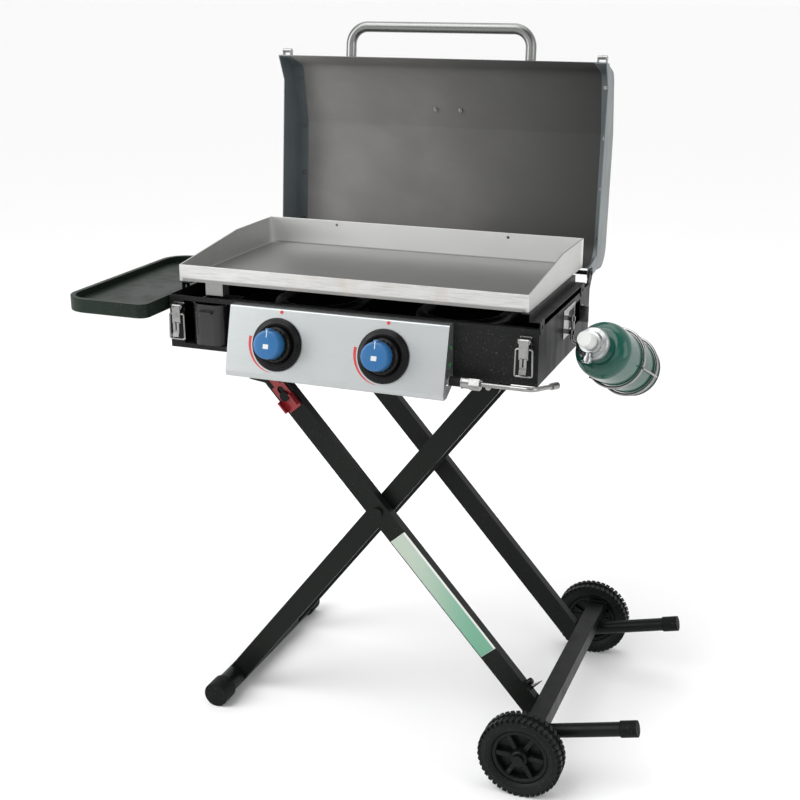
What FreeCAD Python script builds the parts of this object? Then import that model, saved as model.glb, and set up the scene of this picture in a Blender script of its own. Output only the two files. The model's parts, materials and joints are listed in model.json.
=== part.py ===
import FreeCAD
import Part

import math
import os

V = FreeCAD.Vector

# Folding camp griddle on a scissor cart. Millimetres, +Z up, +X to the user's right, -Y towards the user.
# Everything is laid out about the middle of the firebox and the floor, then moved so that the
# origin is under the middle of the whole object's box.

# ---- firebox ----
body_width = 680.0
body_depth = 352.0
body_bottom = 703.0
body_height = 96.0
sheet = 1.5
front_flange = 12.0

# ---- griddle plate and the rails that carry it ----
plate_side_gap = 20.0
plate_front_inset = 6.0
plate_back_over = 20.0
plate_floor = 4.0
plate_wall = 2.5
front_lip = 29.0
wall_height = 54.0
wall_rise = 215.0
rail_gap = 11.0
rail_height = 14.0
rail_flange = 15.0
rail_clear = 2.5
rail_back_gap = 49.0
left_rail_start = 48.0
tab_length = 26.0
tab_drop = 22.0
tab_hole = 3.0
vent_hole = 3.0
vent_inset = 144.0

# ---- lid, drawn closed and turned back to its open rest ----
hinge_back = 29.0
hinge_z = 812.0
lid_open = 95.0
lid_side_gap = 11.0
lid_sheet = 1.2
lid_top = 946.0
lid_edge = 871.0
lid_lip = 845.0
lid_round = 42.0
lid_brow_back = 125.0
lid_brow_drop = 31.0
lid_brow_round = 25.0
lid_flange = 23.0
hinge_rod_r = 4.0
running = 0.06
handle_span = 364.0
handle_r = 10.0
handle_wall = 1.5
handle_reach = 62.0
handle_bend = 34.0
rivet_r = 2.0
rivet_count = 4
rivet_ends = (38.0, 41.0)

# ---- control panel, knobs and gas ----
panel_width = 401.0
panel_centre_x = -5.5
panel_sheet = 1.2
panel_top_out = 20.0
panel_foot_out = 49.0
panel_face_top = 797.0
panel_face_foot = 686.0
panel_lip = 10.0
knob_x = (-111.0, 85.0)
knob_z = 738.0
bezel_r = 46.0
bezel_height = 7.0
knob_skirt_r = 31.0
knob_cap_r = 24.5
knob_length = 44.0
knob_push = 3.0
stem_r = 4.0
valve_r = 13.0
burner_r = 11.0
burner_end_gap = 61.0
burner_width = 170.0
burner_x = (-115.0, 160.0)
burner_z = 768.0
pipe_out = 24.0
pipe_z = 705.0
pipe_r = 4.0

# ---- grease cup ----
cup_width = 70.0
cup_depth = 84.0
cup_height = 74.0
cup_inset = 75.0
cup_wall = 2.0
cup_round = 24.0
mouth_side = 12.0

# ---- draw latches ----
latch_inset = 21.0
latch_width = 20.0
latch_pivot_z = 781.0
latch_out = 11.0
lever_length = 54.0
bail_width = 33.0
bail_length = 47.0
bail_wire = 1.6

# ---- side shelf ----
shelf_width = 174.0
shelf_depth = 398.0
shelf_centre_y = -51.0
shelf_top = 795.0
shelf_thick = 25.0
shelf_corner = 48.0
shelf_gap = 8.0
shelf_pin_r = 3.0

# ---- folding cart ----
pivot_z = 680.0
foot_pivot_x = 245.0
hook_x = -167.7
cross_x = 51.7
cross_z = 430.9
leg_width = 37.0
leg_depth = 19.0
leg_wall = 1.6
outer_half = 158.0
layer = 4.5
plate_thick = 3.0
foot_tube_r = 20.0
foot_cap_r = 24.0
foot_span = 432.0
bolt_r = 5.0
beam_side = 32.0
beam_x = 371.0
beam_z = 105.0
beam_length = 476.0
wheel_x = 358.0
wheel_r = 74.0
wheel_width = 39.0
wheel_gap = 6.0
axle_r = 6.0
rim_r = 50.0
stand_r = 12.5
stand_wall = 1.6
stand_y = 200.0
stand_length = 176.0
stand_rise = 14.3
stand_cap_r = 14.5
stand_cap_length = 30.0

# ---- gas cylinder in its wire cradle ----
gas_r = 49.0
gas_barrel = 158.0
gas_knee = 23.0
gas_side_gap = 31.0
gas_shoulder_y = -60.0
gas_shoulder_z = 743.0
gas_axis = (0.176, 0.88, -0.44)
cradle_wire = 2.5
cradle_gap = 0.6
cradle_out = 13.0
cradle_y = -5.0
cradle_rings = (62.0, 128.0)

# ---- worked out from the sizes above ----
body_half = body_width / 2
body_front = -body_depth / 2
body_back = body_depth / 2
body_top = body_bottom + body_height
plate_half = body_half - plate_side_gap
plate_front = body_front + plate_front_inset
plate_back = body_back + plate_back_over
plate_centre_y = (plate_front + plate_back) / 2
plate_bottom = body_top + rail_gap + rail_height
hinge_y = body_back + hinge_back
lid_half = plate_half + lid_side_gap
pipe_y = body_front - pipe_out
cup_x = cup_inset - body_half
latch_x = body_half - latch_inset
gas_shoulder = (body_half + gas_side_gap + gas_r, gas_shoulder_y, gas_shoulder_z)
cradle_rod = (body_half + cradle_out, cradle_y)
arm_foot = math.hypot(foot_pivot_x - cross_x, pivot_z - cross_z)
arm_hook = math.hypot(cross_x - hook_x, pivot_z - cross_z)
foot_lean = math.degrees(math.asin((pivot_z - cross_z) / arm_foot))
hook_lean = math.degrees(math.asin((pivot_z - cross_z) / arm_hook))
fold_ratio = -(foot_lean + hook_lean) / foot_lean
panel_tilt = math.degrees(math.atan2(panel_foot_out - panel_top_out, panel_face_top - panel_face_foot))

shapes = {}


def box(low, high):
    return Part.makeBox(high[0] - low[0], high[1] - low[1], high[2] - low[2], V(*low))


def rod(start, end, radius):
    start, end = V(*start), V(*end)
    return Part.makeCylinder(radius, (end - start).Length, start, end - start)


def pipe(start, end, radius, wall):
    return rod(start, end, radius).cut(rod(start, end, radius - wall))


def fuse(*solids):
    joined = solids[0]
    if len(solids) > 1:
        joined = joined.multiFuse(list(solids[1:]))
    return joined.removeSplitter()


def mirrored_x(shape):
    return shape.mirror(V(0, 0, 0), V(1, 0, 0))


def mirrored_y(shape):
    return shape.mirror(V(0, 0, 0), V(0, 1, 0))


def turned(shape, centre, axis, degrees):
    copy = shape.copy()
    copy.rotate(V(*centre), V(*axis), degrees)
    return copy


def offset_path(points, distance):
    """The same open outline, moved sideways by distance to the left of its direction."""
    normals = []
    for (a0, b0), (a1, b1) in zip(points, points[1:]):
        length = math.hypot(a1 - a0, b1 - b0)
        normals.append((-(b1 - b0) / length, (a1 - a0) / length))
    moved = []
    for index, (a, b) in enumerate(points):
        before = normals[max(index - 1, 0)]
        after = normals[min(index, len(normals) - 1)]
        scale = distance / (1 + before[0] * after[0] + before[1] * after[1])
        moved.append((a + (before[0] + after[0]) * scale, b + (before[1] + after[1]) * scale))
    return moved


def path_edges(points, radii, place):
    """Straight runs joined by tangent arcs; radii has one value for each inner point."""
    nodes = [V(a, b, 0) for a, b in points]
    edges = []
    last = nodes[0]
    for index, radius in enumerate(radii):
        before, corner, after = nodes[index], nodes[index + 1], nodes[index + 2]
        into, out = (before - corner).normalize(), (after - corner).normalize()
        half = math.acos(max(-1, min(1, into.dot(out)))) / 2
        if radius > 0 and half < math.pi / 2 - 1e-6:
            reach = radius / math.tan(half)
            start, end = corner + into * reach, corner + out * reach
            middle_dir = (into + out).normalize()
            middle = corner + middle_dir * (radius / math.sin(half) - radius)
            edges.append(Part.LineSegment(place(last), place(start)).toShape())
            edges.append(Part.Arc(place(start), place(middle), place(end)).toShape())
            last = end
        else:
            edges.append(Part.LineSegment(place(last), place(corner)).toShape())
            last = corner
    edges.append(Part.LineSegment(place(last), place(nodes[-1])).toShape())
    return edges


def on_yz(x):
    return lambda p: V(x, p.x, p.y)


def on_xz(y):
    return lambda p: V(p.x, y, p.y)


def on_xy(z):
    return lambda p: V(p.x, p.y, z)


def strip(points, radii, thickness, place, length):
    """Bent sheet: an open outline thickened to its left and drawn out by length."""
    inner = offset_path(points, thickness)
    turns = []
    for index, radius in enumerate(radii):
        (a0, b0), (a1, b1), (a2, b2) = points[index:index + 3]
        left_turn = (a1 - a0) * (b2 - b1) - (b1 - b0) * (a2 - a1) > 0
        turns.append(max(radius - thickness, 0.05) if left_turn else radius + thickness)
    outer_edges = path_edges(points, radii, place)
    inner_edges = path_edges(inner, turns, place)
    ends = [
        Part.LineSegment(place(V(*points[0])), place(V(*inner[0]))).toShape(),
        Part.LineSegment(place(V(*points[-1])), place(V(*inner[-1]))).toShape(),
    ]
    wire = Part.Wire(Part.__sortEdges__(outer_edges + inner_edges + ends))
    return Part.Face(wire).extrude(length)


def plate(points, place, length):
    """Flat plate with a straight-sided outline."""
    corners = [place(V(a, b, 0)) for a, b in points]
    return Part.Face(Part.makePolygon(corners + corners[:1])).extrude(length)


def rounded_slab(low, high, radii):
    """Upright slab with its four vertical corners rounded: front-left, front-right, back-right, back-left."""
    x0, y0, z0 = low
    x1, y1, z1 = high
    middle = ((x0 + x1) / 2, y0)
    outline = [middle, (x1, y0), (x1, y1), (x0, y1), (x0, y0), middle]
    order = [radii[1], radii[2], radii[3], radii[0]]
    edges = path_edges(outline, order, on_xy(z0))
    return Part.Face(Part.Wire(Part.__sortEdges__(edges))).extrude(V(0, 0, z1 - z0))


def bent_rod(points, bend, radius):
    """Round rod through points in space, straight runs joined by tangent arcs."""
    nodes = [V(*p) for p in points]
    edges = []
    last = nodes[0]
    for before, corner, after in zip(nodes, nodes[1:], nodes[2:]):
        into, out = (before - corner).normalize(), (after - corner).normalize()
        half = into.getAngle(out) / 2
        reach = bend / math.tan(half)
        start, end = corner + into * reach, corner + out * reach
        middle = corner + (into + out).normalize() * (bend / math.sin(half) - bend)
        edges.append(Part.LineSegment(last, start).toShape())
        edges.append(Part.Arc(start, middle, end).toShape())
        last = end
    edges.append(Part.LineSegment(last, nodes[-1]).toShape())
    wire = Part.Wire(edges)
    section = Part.Wire([Part.Circle(nodes[0], nodes[1] - nodes[0], radius).toShape()])
    return wire.makePipeShell([section], True, False)


def turned_profile(points):
    """Solid of revolution about +Z from an outline of (radius, height) points."""
    corners = [V(r, 0, h) for r, h in points]
    return Part.Face(Part.makePolygon(corners + corners[:1])).revolve(V(0, 0, 0), V(0, 0, 1), 360)


def aim(shape, origin, direction):
    """Moves a shape drawn up +Z so that it starts at origin and points along direction."""
    copy = shape.copy()
    copy.Placement = FreeCAD.Placement(V(*origin), FreeCAD.Rotation(V(0, 0, 1), V(*direction)))
    return copy


# ---------------------------------------------------------------- control panel and knobs

face_out = V(0, -math.cos(math.radians(panel_tilt)), math.sin(math.radians(panel_tilt)))
panel_left = panel_centre_x - panel_width / 2
panel_right = panel_centre_x + panel_width / 2


def panel_y(z):
    share = (panel_face_top - z) / (panel_face_top - panel_face_foot)
    return body_front - panel_top_out - share * (panel_foot_out - panel_top_out)


def knob_seat(x):
    """Middle of a knob on the panel's outer face."""
    return V(x, panel_y(knob_z), knob_z)


def panel_outline():
    return [
        (body_front - 0.3, panel_face_top),
        (body_front - panel_top_out, panel_face_top),
        (body_front - panel_foot_out, panel_face_foot),
        (body_front - panel_foot_out + 3, panel_face_foot - panel_lip),
        (body_front - panel_foot_out + 20, panel_face_foot - panel_lip),
    ]


def control_panel():
    outline = panel_outline()
    face = strip(outline, [3, 3, 3], panel_sheet, on_yz(panel_left), V(panel_width, 0, 0))
    side_outline = offset_path(outline, panel_sheet) + [(body_front - 0.3, panel_face_foot + 6)]
    sides = []
    for x in (panel_left, panel_right - panel_sheet):
        sides.append(plate(side_outline, on_yz(x), V(panel_sheet, 0, 0)))
    panel = fuse(face, *sides)
    for x in knob_x:
        seat = knob_seat(x)
        panel = panel.cut(rod(seat + face_out * 20, seat - face_out * 20, valve_r - 3))
    for z in (758.0, 729.0):
        middle_y = panel_y(z) + 20
        for dz in (-4.0, 4.0):
            panel = panel.cut(rod((panel_right - 5, middle_y, z + dz), (panel_right + 5, middle_y, z + dz), 2.5))
        panel = panel.cut(box((panel_right - 5, middle_y - 2.5, z - 4), (panel_right + 5, middle_y + 2.5, z + 4)))
    pipe_way = rod((panel_right - 8, pipe_y, pipe_z), (panel_right + 8, pipe_y, pipe_z), 9.5)
    return panel.cut(pipe_way)


def knob_bezels():
    ring = turned_profile([
        (valve_r - 2, 0.1), (bezel_r, 0.1), (bezel_r, 3), (bezel_r - 3, bezel_height - 2),
        (bezel_r - 8, bezel_height - 1), (knob_skirt_r + 3, bezel_height), (knob_skirt_r + 2, 3), (valve_r - 2, 3),
    ])
    return Part.makeCompound([aim(ring, knob_seat(x), face_out) for x in knob_x])


def knob(x):
    body = turned_profile([
        (stem_r + running, 6), (knob_skirt_r, 6), (knob_skirt_r - 1, 12), (knob_cap_r + 2.5, 22),
        (knob_cap_r + 1, 28), (knob_cap_r, 29), (knob_cap_r, knob_length - 3), (knob_cap_r - 3, knob_length),
        (0, knob_length), (0, 34), (stem_r + running, 34),
    ])
    pointer = box((-4.5, knob_cap_r - 4, 26), (4.5, knob_cap_r + 5, knob_length - 2))
    return aim(fuse(body, pointer), knob_seat(x), face_out)


def stem(x):
    seat = knob_seat(x)
    shaft = rod(seat - face_out * 26, seat + face_out * 33.5, stem_r)
    collar = rod(seat - face_out * 8, seat - face_out * 5, stem_r + 3)
    return fuse(shaft, collar)


def gas_valves():
    valves = []
    for x in knob_x:
        seat = knob_seat(x)
        back = seat - face_out * 46
        block = rod(seat - face_out * 14, back, valve_r)
        saddle = rod((x, pipe_y, pipe_z + pipe_r), seat - face_out * 24, 7)
        bore = rod(seat - face_out * 10, seat - face_out * 31, stem_r + running)
        jet = rod(back, back - face_out * 8, 4)
        tube_way = rod((x - 30, pipe_y, pipe_z), (x + 30, pipe_y, pipe_z), pipe_r + 3)
        valves.append(fuse(block, saddle, jet).cut(bore).cut(tube_way))
    return Part.makeCompound(valves)


def gas_manifold():
    left_end = knob_x[0] - 20
    tube = rod((left_end, pipe_y, pipe_z), (panel_right + 3, pipe_y, pipe_z), pipe_r + 3)
    cap = rod((left_end - 6, pipe_y, pipe_z), (left_end, pipe_y, pipe_z), pipe_r + 5)
    return fuse(tube, cap)


def burner(x, inlet_x):
    half_w = burner_width / 2 - burner_r
    half_l = body_depth / 2 - burner_end_gap - burner_r
    front, back = -half_l + plate_centre_y, half_l + plate_centre_y
    straight = half_l - half_w
    points = {
        "a": V(x - half_w, plate_centre_y - straight, burner_z), "b": V(x - half_w, plate_centre_y + straight, burner_z),
        "c": V(x + half_w, plate_centre_y + straight, burner_z), "d": V(x + half_w, plate_centre_y - straight, burner_z),
    }
    loop = Part.Wire([
        Part.LineSegment(points["a"], points["b"]).toShape(),
        Part.Arc(points["b"], V(x, back, burner_z), points["c"]).toShape(),
        Part.LineSegment(points["c"], points["d"]).toShape(),
        Part.Arc(points["d"], V(x, front, burner_z), points["a"]).toShape(),
    ])
    section = Part.Wire([Part.Circle(points["a"], V(0, 1, 0), burner_r).toShape()])
    ring = loop.makePipeShell([section], True, False)
    valve_back = knob_seat(inlet_x) - face_out * 55.5
    feed_end = V(x, front + 4, burner_z)
    feed = Part.makeCylinder(burner_r - 2, (feed_end - valve_back).Length, valve_back, feed_end - valve_back)
    mouth_bore = Part.makeCylinder(burner_r - 4, 14, valve_back, feed_end - valve_back)
    legs = []
    for side in (-1, 1):
        foot_x = x + side * half_w
        leg_low = (foot_x - 7, plate_centre_y - 0.8, body_bottom + sheet)
        leg_high = (foot_x + 7, plate_centre_y + 0.8, burner_z - burner_r + 3)
        legs.append(box(leg_low, leg_high))
    return fuse(ring, feed, *legs).cut(mouth_bore)


# ---------------------------------------------------------------- firebox

mouth_left = cup_x - cup_width / 2 - mouth_side
mouth_right = cup_x + cup_width / 2 + mouth_side
cup_floor = body_bottom + 9.0


def firebox_shell():
    shell = box((-body_half, body_front, body_bottom), (body_half, body_back, body_top))
    inside = box(
        (-body_half + sheet, body_front + sheet, body_bottom + sheet),
        (body_half - sheet, body_back - sheet, body_top + 1),
    )
    shell = shell.cut(inside)
    flanges = [
        box((mouth_right, body_front, body_top - sheet), (body_half, body_front + front_flange, body_top)),
        box((-body_half, body_back - front_flange, body_top - sheet), (body_half, body_back, body_top)),
    ]
    ledge = box((mouth_left, body_front, cup_floor - sheet), (mouth_right, body_front + cup_depth + 10, cup_floor))
    partition = box(
        (mouth_right, body_front + 1, body_bottom), (mouth_right + sheet, body_front + cup_depth + 10, body_top - 10)
    )
    shell = fuse(shell, *flanges, ledge, partition)
    mouth = box((mouth_left, body_front - 1, cup_floor), (mouth_right, body_front + sheet + 0.1, body_top - 9))
    window = box((body_half - 5, 62, 747), (body_half + 5, 104, 786))
    shell = shell.cut(mouth).cut(window)
    for x in knob_x:
        seat = knob_seat(x)
        shell = shell.cut(rod(seat, seat - face_out * 60, valve_r + 2))
    return shell


def plate_rail(start_y):
    """Right-hand rail: a Z section with two drop tabs on the firebox's outer face."""
    web_x = plate_half + rail_clear
    flange_z = body_top + rail_gap
    end_y = body_back - rail_back_gap
    parts = [
        box((web_x + sheet - rail_flange, start_y, plate_bottom - sheet), (web_x + sheet, end_y, plate_bottom)),
        box((web_x, start_y, flange_z), (web_x + sheet, end_y, plate_bottom)),
        box((web_x, start_y, flange_z), (body_half + sheet, end_y, flange_z + sheet)),
    ]
    for tab_start in (start_y, end_y - tab_length):
        middle_y = tab_start + tab_length / 2
        low_z = body_top - tab_drop + rail_gap + tab_length / 2
        tab = fuse(
            box((body_half, tab_start, low_z), (body_half + sheet, tab_start + tab_length, flange_z + sheet)),
            rod((body_half, middle_y, low_z), (body_half + sheet, middle_y, low_z), tab_length / 2),
        )
        parts.append(tab.cut(rod((body_half - 1, middle_y, low_z), (body_half + 3, middle_y, low_z), tab_hole)))
    return fuse(*parts)


def griddle_plate():
    side = [
        (plate_front, plate_bottom), (plate_back, plate_bottom), (plate_back, plate_bottom + wall_height),
        (plate_front + wall_rise, plate_bottom + wall_height), (plate_front, plate_bottom + front_lip),
    ]
    outer = plate(side, on_yz(-plate_half), V(2 * plate_half, 0, 0))
    inner = box(
        (-plate_half + plate_wall, plate_front + plate_wall, plate_bottom + plate_floor),
        (plate_half - plate_wall, plate_back - plate_wall, plate_bottom + wall_height + 5),
    )
    tray = outer.cut(inner)
    vent_z = plate_bottom + wall_height - 8.5
    for x in (vent_inset - plate_half, plate_half - vent_inset):
        tray = tray.cut(rod((x, plate_back - 6, vent_z), (x, plate_back + 3, vent_z), vent_hole))
    drain = box(
        (chute_left + 3, plate_front + 8, plate_bottom - 1), (chute_right - 3, plate_front + 20, plate_bottom + 9)
    )
    return tray.cut(drain)


chute_right = cup_x + cup_width / 2 - 6
chute_left = chute_right - 34
chute_drop = 22.0


def grease_chute():
    low_z = plate_bottom - chute_drop
    back_y = plate_front + 26
    outer = box((chute_left, plate_front + 2, low_z), (chute_right, back_y, plate_bottom))
    inner = box(
        (chute_left + sheet, plate_front + 2 + sheet, low_z - 1), (chute_right - sheet, back_y - sheet, plate_bottom + 1)
    )
    return outer.cut(inner)


def grease_cup():
    front = body_front - 3
    low = (cup_x - cup_width / 2, front, cup_floor + 0.3)
    high = (cup_x + cup_width / 2, front + cup_depth, cup_floor + cup_height)
    outer = rounded_slab(low, high, [cup_round, cup_round, 6, 6])
    inner_low = (low[0] + cup_wall, low[1] + cup_wall, low[2] + cup_wall)
    inner_high = (high[0] - cup_wall, high[1] - cup_wall, high[2] + 1)
    inner = rounded_slab(inner_low, inner_high, [cup_round - cup_wall, cup_round - cup_wall, 4, 4])
    cup = outer.cut(inner)
    grip = box((cup_x - 14, front - 9, high[2] - 14), (cup_x + 14, front + cup_wall, high[2] - 11))
    return fuse(cup, grip.cut(inner))


# ---------------------------------------------------------------- lid (drawn closed)

lid_corners = [
    (hinge_y + 1.5, lid_edge + 9), (hinge_y + 1.5, lid_top), (plate_front + lid_brow_back, lid_top - 3),
    (plate_front + 12, lid_top - lid_brow_drop), (plate_front - 5, lid_lip),
]
lid_radii = [lid_round, 20.0, lid_brow_round]


def lid_surface(y):
    """Point on the closed lid's outer sheet at depth y, with the outward direction there."""
    for (y0, z0), (y1, z1) in zip(lid_corners[1:], lid_corners[2:]):
        if y1 <= y <= y0:
            out = V(0, z1 - z0, y0 - y1)
            return V(0, y, z0 + (y - y0) * (z1 - z0) / (y1 - y0)), out.normalize()


def opened(shape):
    return turned(shape, (0, hinge_y, hinge_z), (1, 0, 0), -lid_open)


def lid_shell():
    return strip(lid_corners, lid_radii, lid_sheet, on_yz(-lid_half), V(2 * lid_half, 0, 0))


def lid_end():
    """Right end plate with its inward riveted flange and the tongue down to the hinge rod."""
    x = lid_half - sheet
    outline = offset_path(lid_corners, lid_sheet)
    radii = [radius - lid_sheet for radius in lid_radii]
    edges = path_edges(outline, radii, on_yz(x))
    rear, front = outline[0], outline[-1]
    eye = 12.0
    tongue = [
        front, (front[0] + 46, lid_edge), (hinge_y - 26, lid_edge), (hinge_y - eye, hinge_z + 8), (hinge_y, hinge_z - 2),
        (hinge_y + eye, hinge_z + 8), rear,
    ]
    for start, end in zip(tongue, tongue[1:]):
        edges.append(Part.LineSegment(V(x, *start), V(x, *end)).toShape())
    side = Part.Face(Part.Wire(Part.__sortEdges__(edges))).extrude(V(sheet, 0, 0))
    side = fuse(side, rod((x, hinge_y, hinge_z), (lid_half, hinge_y, hinge_z), eye))
    lip = strip(outline, radii, lid_sheet, on_yz(lid_half - lid_flange), V(lid_flange, 0, 0))
    hole = rod((x - 5, hinge_y, hinge_z), (lid_half + 5, hinge_y, hinge_z), hinge_rod_r + running)
    return fuse(side, lip).cut(hole)


def rivet_places():
    first, last = plate_front + rivet_ends[0], plate_back - rivet_ends[1]
    pitch = (last - first) / (rivet_count - 1)
    return [(side * (lid_half - 15), first + pitch * n) for side in (-1, 1) for n in range(rivet_count)]


def through_lid(x, y, start, end, radius):
    """Rod square to the lid's sheet, between two distances from its outer face."""
    point, out = lid_surface(y)
    point.x = x
    return rod(point + out * start, point + out * end, radius)


def rivet_ways():
    return [through_lid(x, y, -6, 2, rivet_r) for x, y in rivet_places()]


def lid_rivets():
    rivets = []
    for x, y in rivet_places():
        shank = through_lid(x, y, -2.5, 0.1, rivet_r)
        inner_head = through_lid(x, y, -4.1, -2 * lid_sheet, rivet_r + 2)
        outer_head = through_lid(x, y, 0, 1.2, rivet_r + 2)
        rivets.append(fuse(shank, inner_head, outer_head))
    return Part.makeCompound(rivets)


handle_z = lid_lip + 20
lip_slope = 17.0 / (lid_top - lid_brow_drop - lid_lip)
handle_y = plate_front - 5 + (handle_z - lid_lip) * lip_slope


def lid_handle():
    half = handle_span / 2
    foot_y, far_y = handle_y + 2, handle_y - handle_reach
    route = [(-half, foot_y, handle_z), (-half, far_y, handle_z), (half, far_y, handle_z), (half, foot_y, handle_z)]
    tube = bent_rod(route, handle_bend, handle_r)
    bore = bent_rod(route, handle_bend, handle_r - handle_wall)
    collars = [rod((x, handle_y - 3, handle_z), (x, foot_y, handle_z), handle_r + 3) for x in (-half, half)]
    return fuse(tube, *collars).cut(bore).cut(lid_front_space())


def lid_front_space():
    """Everything behind the front sheet's outer face, so that what bolts to it sits on it."""
    low = (plate_front - 5 - 30 * lip_slope, lid_lip - 30)
    high = (plate_front - 5 + 60 * lip_slope, lid_lip + 60)
    region = [low, (low[0] + 80, low[1]), (high[0] + 80, high[1]), high]
    return plate(region, on_yz(-lid_half), V(2 * lid_half, 0, 0))


def lid_keepers():
    """Plated hooks on the front corners that the draw latches pull down on."""
    keepers = []
    for x in (-latch_x, latch_x):
        base = box((x - 11, handle_y - 4, lid_lip + 4), (x + 11, handle_y + 3, lid_lip + 30))
        ears = [box((x + dx, handle_y - 15, lid_lip + 12), (x + dx + 2, handle_y, lid_lip + 22)) for dx in (-9, 7)]
        bar = rod((x - 9, handle_y - 14, lid_lip + 17), (x + 9, handle_y - 14, lid_lip + 17), 4)
        keepers.append(fuse(base, *ears, bar).cut(lid_front_space()))
    return Part.makeCompound(keepers)


badge_screws = [(-26.0, plate_front + 90), (26.0, plate_front + 90)]


def lid_badge():
    """Blank name plate held by two screws whose ends show inside the lid."""
    y = badge_screws[0][1]
    point, out = lid_surface(y)
    blank = aim(rounded_slab((-46, -14, 0.1), (46, 14, 1.6), [5, 5, 5, 5]), point, out)
    pins = [through_lid(x, y, -8, 1, 2) for x, y in badge_screws]
    nuts = [through_lid(x, y, -4.2, -lid_sheet, 4) for x, y in badge_screws]
    return fuse(blank, *pins, *nuts)


def lid_hinge():
    """Rod across the back with its two brackets on the firebox's rear wall."""
    end_x = lid_half + 6
    shaft = rod((-end_x, hinge_y, hinge_z), (end_x, hinge_y, hinge_z), hinge_rod_r)
    brackets = []
    for side in (-1, 1):
        inner, outer = side * (lid_half + 2), side * (lid_half + 4.5)
        low_x, high_x = min(inner, outer), max(inner, outer)
        cheek = plate(
            [(body_back, body_top - 40), (body_back, body_top - 2), (hinge_y - 6, hinge_z + 9), (hinge_y + 8, hinge_z + 9),
             (hinge_y + 9, hinge_z - 6)],
            on_yz(low_x), V(high_x - low_x, 0, 0),
        )
        foot_x = sorted((side * (lid_half - 22), outer))
        foot = box((foot_x[0], body_back, body_top - 40), (foot_x[1], body_back + 2.5, body_top - 6))
        brackets += [cheek, foot]
    return fuse(shaft, *brackets)


# ---------------------------------------------------------------- draw latches

latch_y = body_front - latch_out


def latch_base(x):
    half = latch_width / 2
    back = box((x - half, body_front - 2, latch_pivot_z - 14), (x + half, body_front, latch_pivot_z + 6))
    ears = [
        box((x + dx, latch_y - 3.5, latch_pivot_z - 4), (x + dx + 1.6, body_front - 1, latch_pivot_z + 4))
        for dx in (-half, half - 1.6)
    ]
    pin = rod((x - half - 1, latch_y, latch_pivot_z), (x + half + 1, latch_y, latch_pivot_z), 2)
    return fuse(back, *ears, pin)


def latch_lever(x):
    half = latch_width / 2 - 2
    web_y = latch_y - 4.5
    barrel = rod((x - half, latch_y, latch_pivot_z), (x + half, latch_y, latch_pivot_z), 4)
    web = box((x - half, web_y, latch_pivot_z - 30), (x + half, web_y + 1.6, latch_pivot_z + 2))
    cheeks = [
        box((x + dx, web_y, latch_pivot_z - 20), (x + dx + 1.6, web_y + 6, latch_pivot_z)) for dx in (-half, half - 1.6)
    ]
    tongue = strip(
        [(web_y, latch_pivot_z - 28), (web_y, latch_pivot_z - 44), (web_y - 4, latch_pivot_z - lever_length)],
        [12], -1.6, on_yz(x - half + 2), V(2 * half - 4, 0, 0),
    )
    lever = fuse(barrel, web, *cheeks, tongue)
    bore = rod((x - half - 1, latch_y, latch_pivot_z), (x + half + 1, latch_y, latch_pivot_z), 2 + running)
    slot = box((x - 1.3, web_y - 3, latch_pivot_z - 42), (x + 1.3, web_y + 5, latch_pivot_z - 28))
    hole_z = latch_pivot_z - bail_drop
    holes = rod((x - 20, web_y + 3, hole_z), (x + 20, web_y + 3, hole_z), bail_wire + running)
    return lever.cut(bore).cut(slot).cut(holes)


bail_drop = 13.0


def latch_bail(x):
    half = bail_width / 2 - bail_wire
    grip = latch_width / 2 - 2
    y = latch_y - 1.5
    top_z = latch_pivot_z - bail_drop
    low_z = top_z - bail_length + bail_wire
    return bent_rod(
        [(x - grip + 1.4, y, top_z), (x - half + 1, y, top_z), (x - half, y - 1, low_z), (x + half, y - 1, low_z),
         (x + half - 1, y, top_z), (x + grip - 1.4, y, top_z)],
        3.0, bail_wire,
    )


# ---------------------------------------------------------------- side shelf

shelf_inner_x = -(body_half + 6)
shelf_hinge_x = -(body_half + shelf_gap)
shelf_bottom = shelf_top - shelf_thick
shelf_hinge_z = shelf_bottom - 6
shelf_hinge_y = (-125.0, 75.0)


def side_shelf():
    y0 = shelf_centre_y - shelf_depth / 2
    low = (shelf_inner_x - shelf_width, y0, shelf_bottom)
    high = (shelf_inner_x, y0 + shelf_depth, shelf_top)
    corners = [shelf_corner, 18, 18, shelf_corner]
    slab = rounded_slab(low, high, corners)
    rim = 9.0
    recess = rounded_slab(
        (low[0] + rim, low[1] + rim, shelf_top - 12), (high[0] - rim, high[1] - rim, shelf_top + 1),
        [corner - rim for corner in corners],
    )
    hollow = rounded_slab(
        (low[0] + 3, low[1] + 3, shelf_bottom - 1), (high[0] - 3, high[1] - 3, shelf_top - 15),
        [corner - 3 for corner in corners],
    )
    shelf = slab.cut(recess).cut(hollow)
    knuckles = []
    for y in shelf_hinge_y:
        axis = (shelf_hinge_x, y - 7.5, shelf_hinge_z), (shelf_hinge_x, y + 7.5, shelf_hinge_z)
        barrel = rod(*axis, 5)
        web = box((shelf_hinge_x - 5, y - 7.5, shelf_hinge_z), (shelf_inner_x, y + 7.5, shelf_bottom + 2))
        arm = box((shelf_inner_x - shelf_width + 30, y - 7.5, shelf_top - 16), (shelf_inner_x - 1, y + 7.5, shelf_top - 12))
        bore = rod((shelf_hinge_x, y - 9, shelf_hinge_z), (shelf_hinge_x, y + 9, shelf_hinge_z), shelf_pin_r + running)
        knuckles += [fuse(barrel, web, arm).cut(bore)]
    return fuse(shelf, *knuckles)


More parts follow.
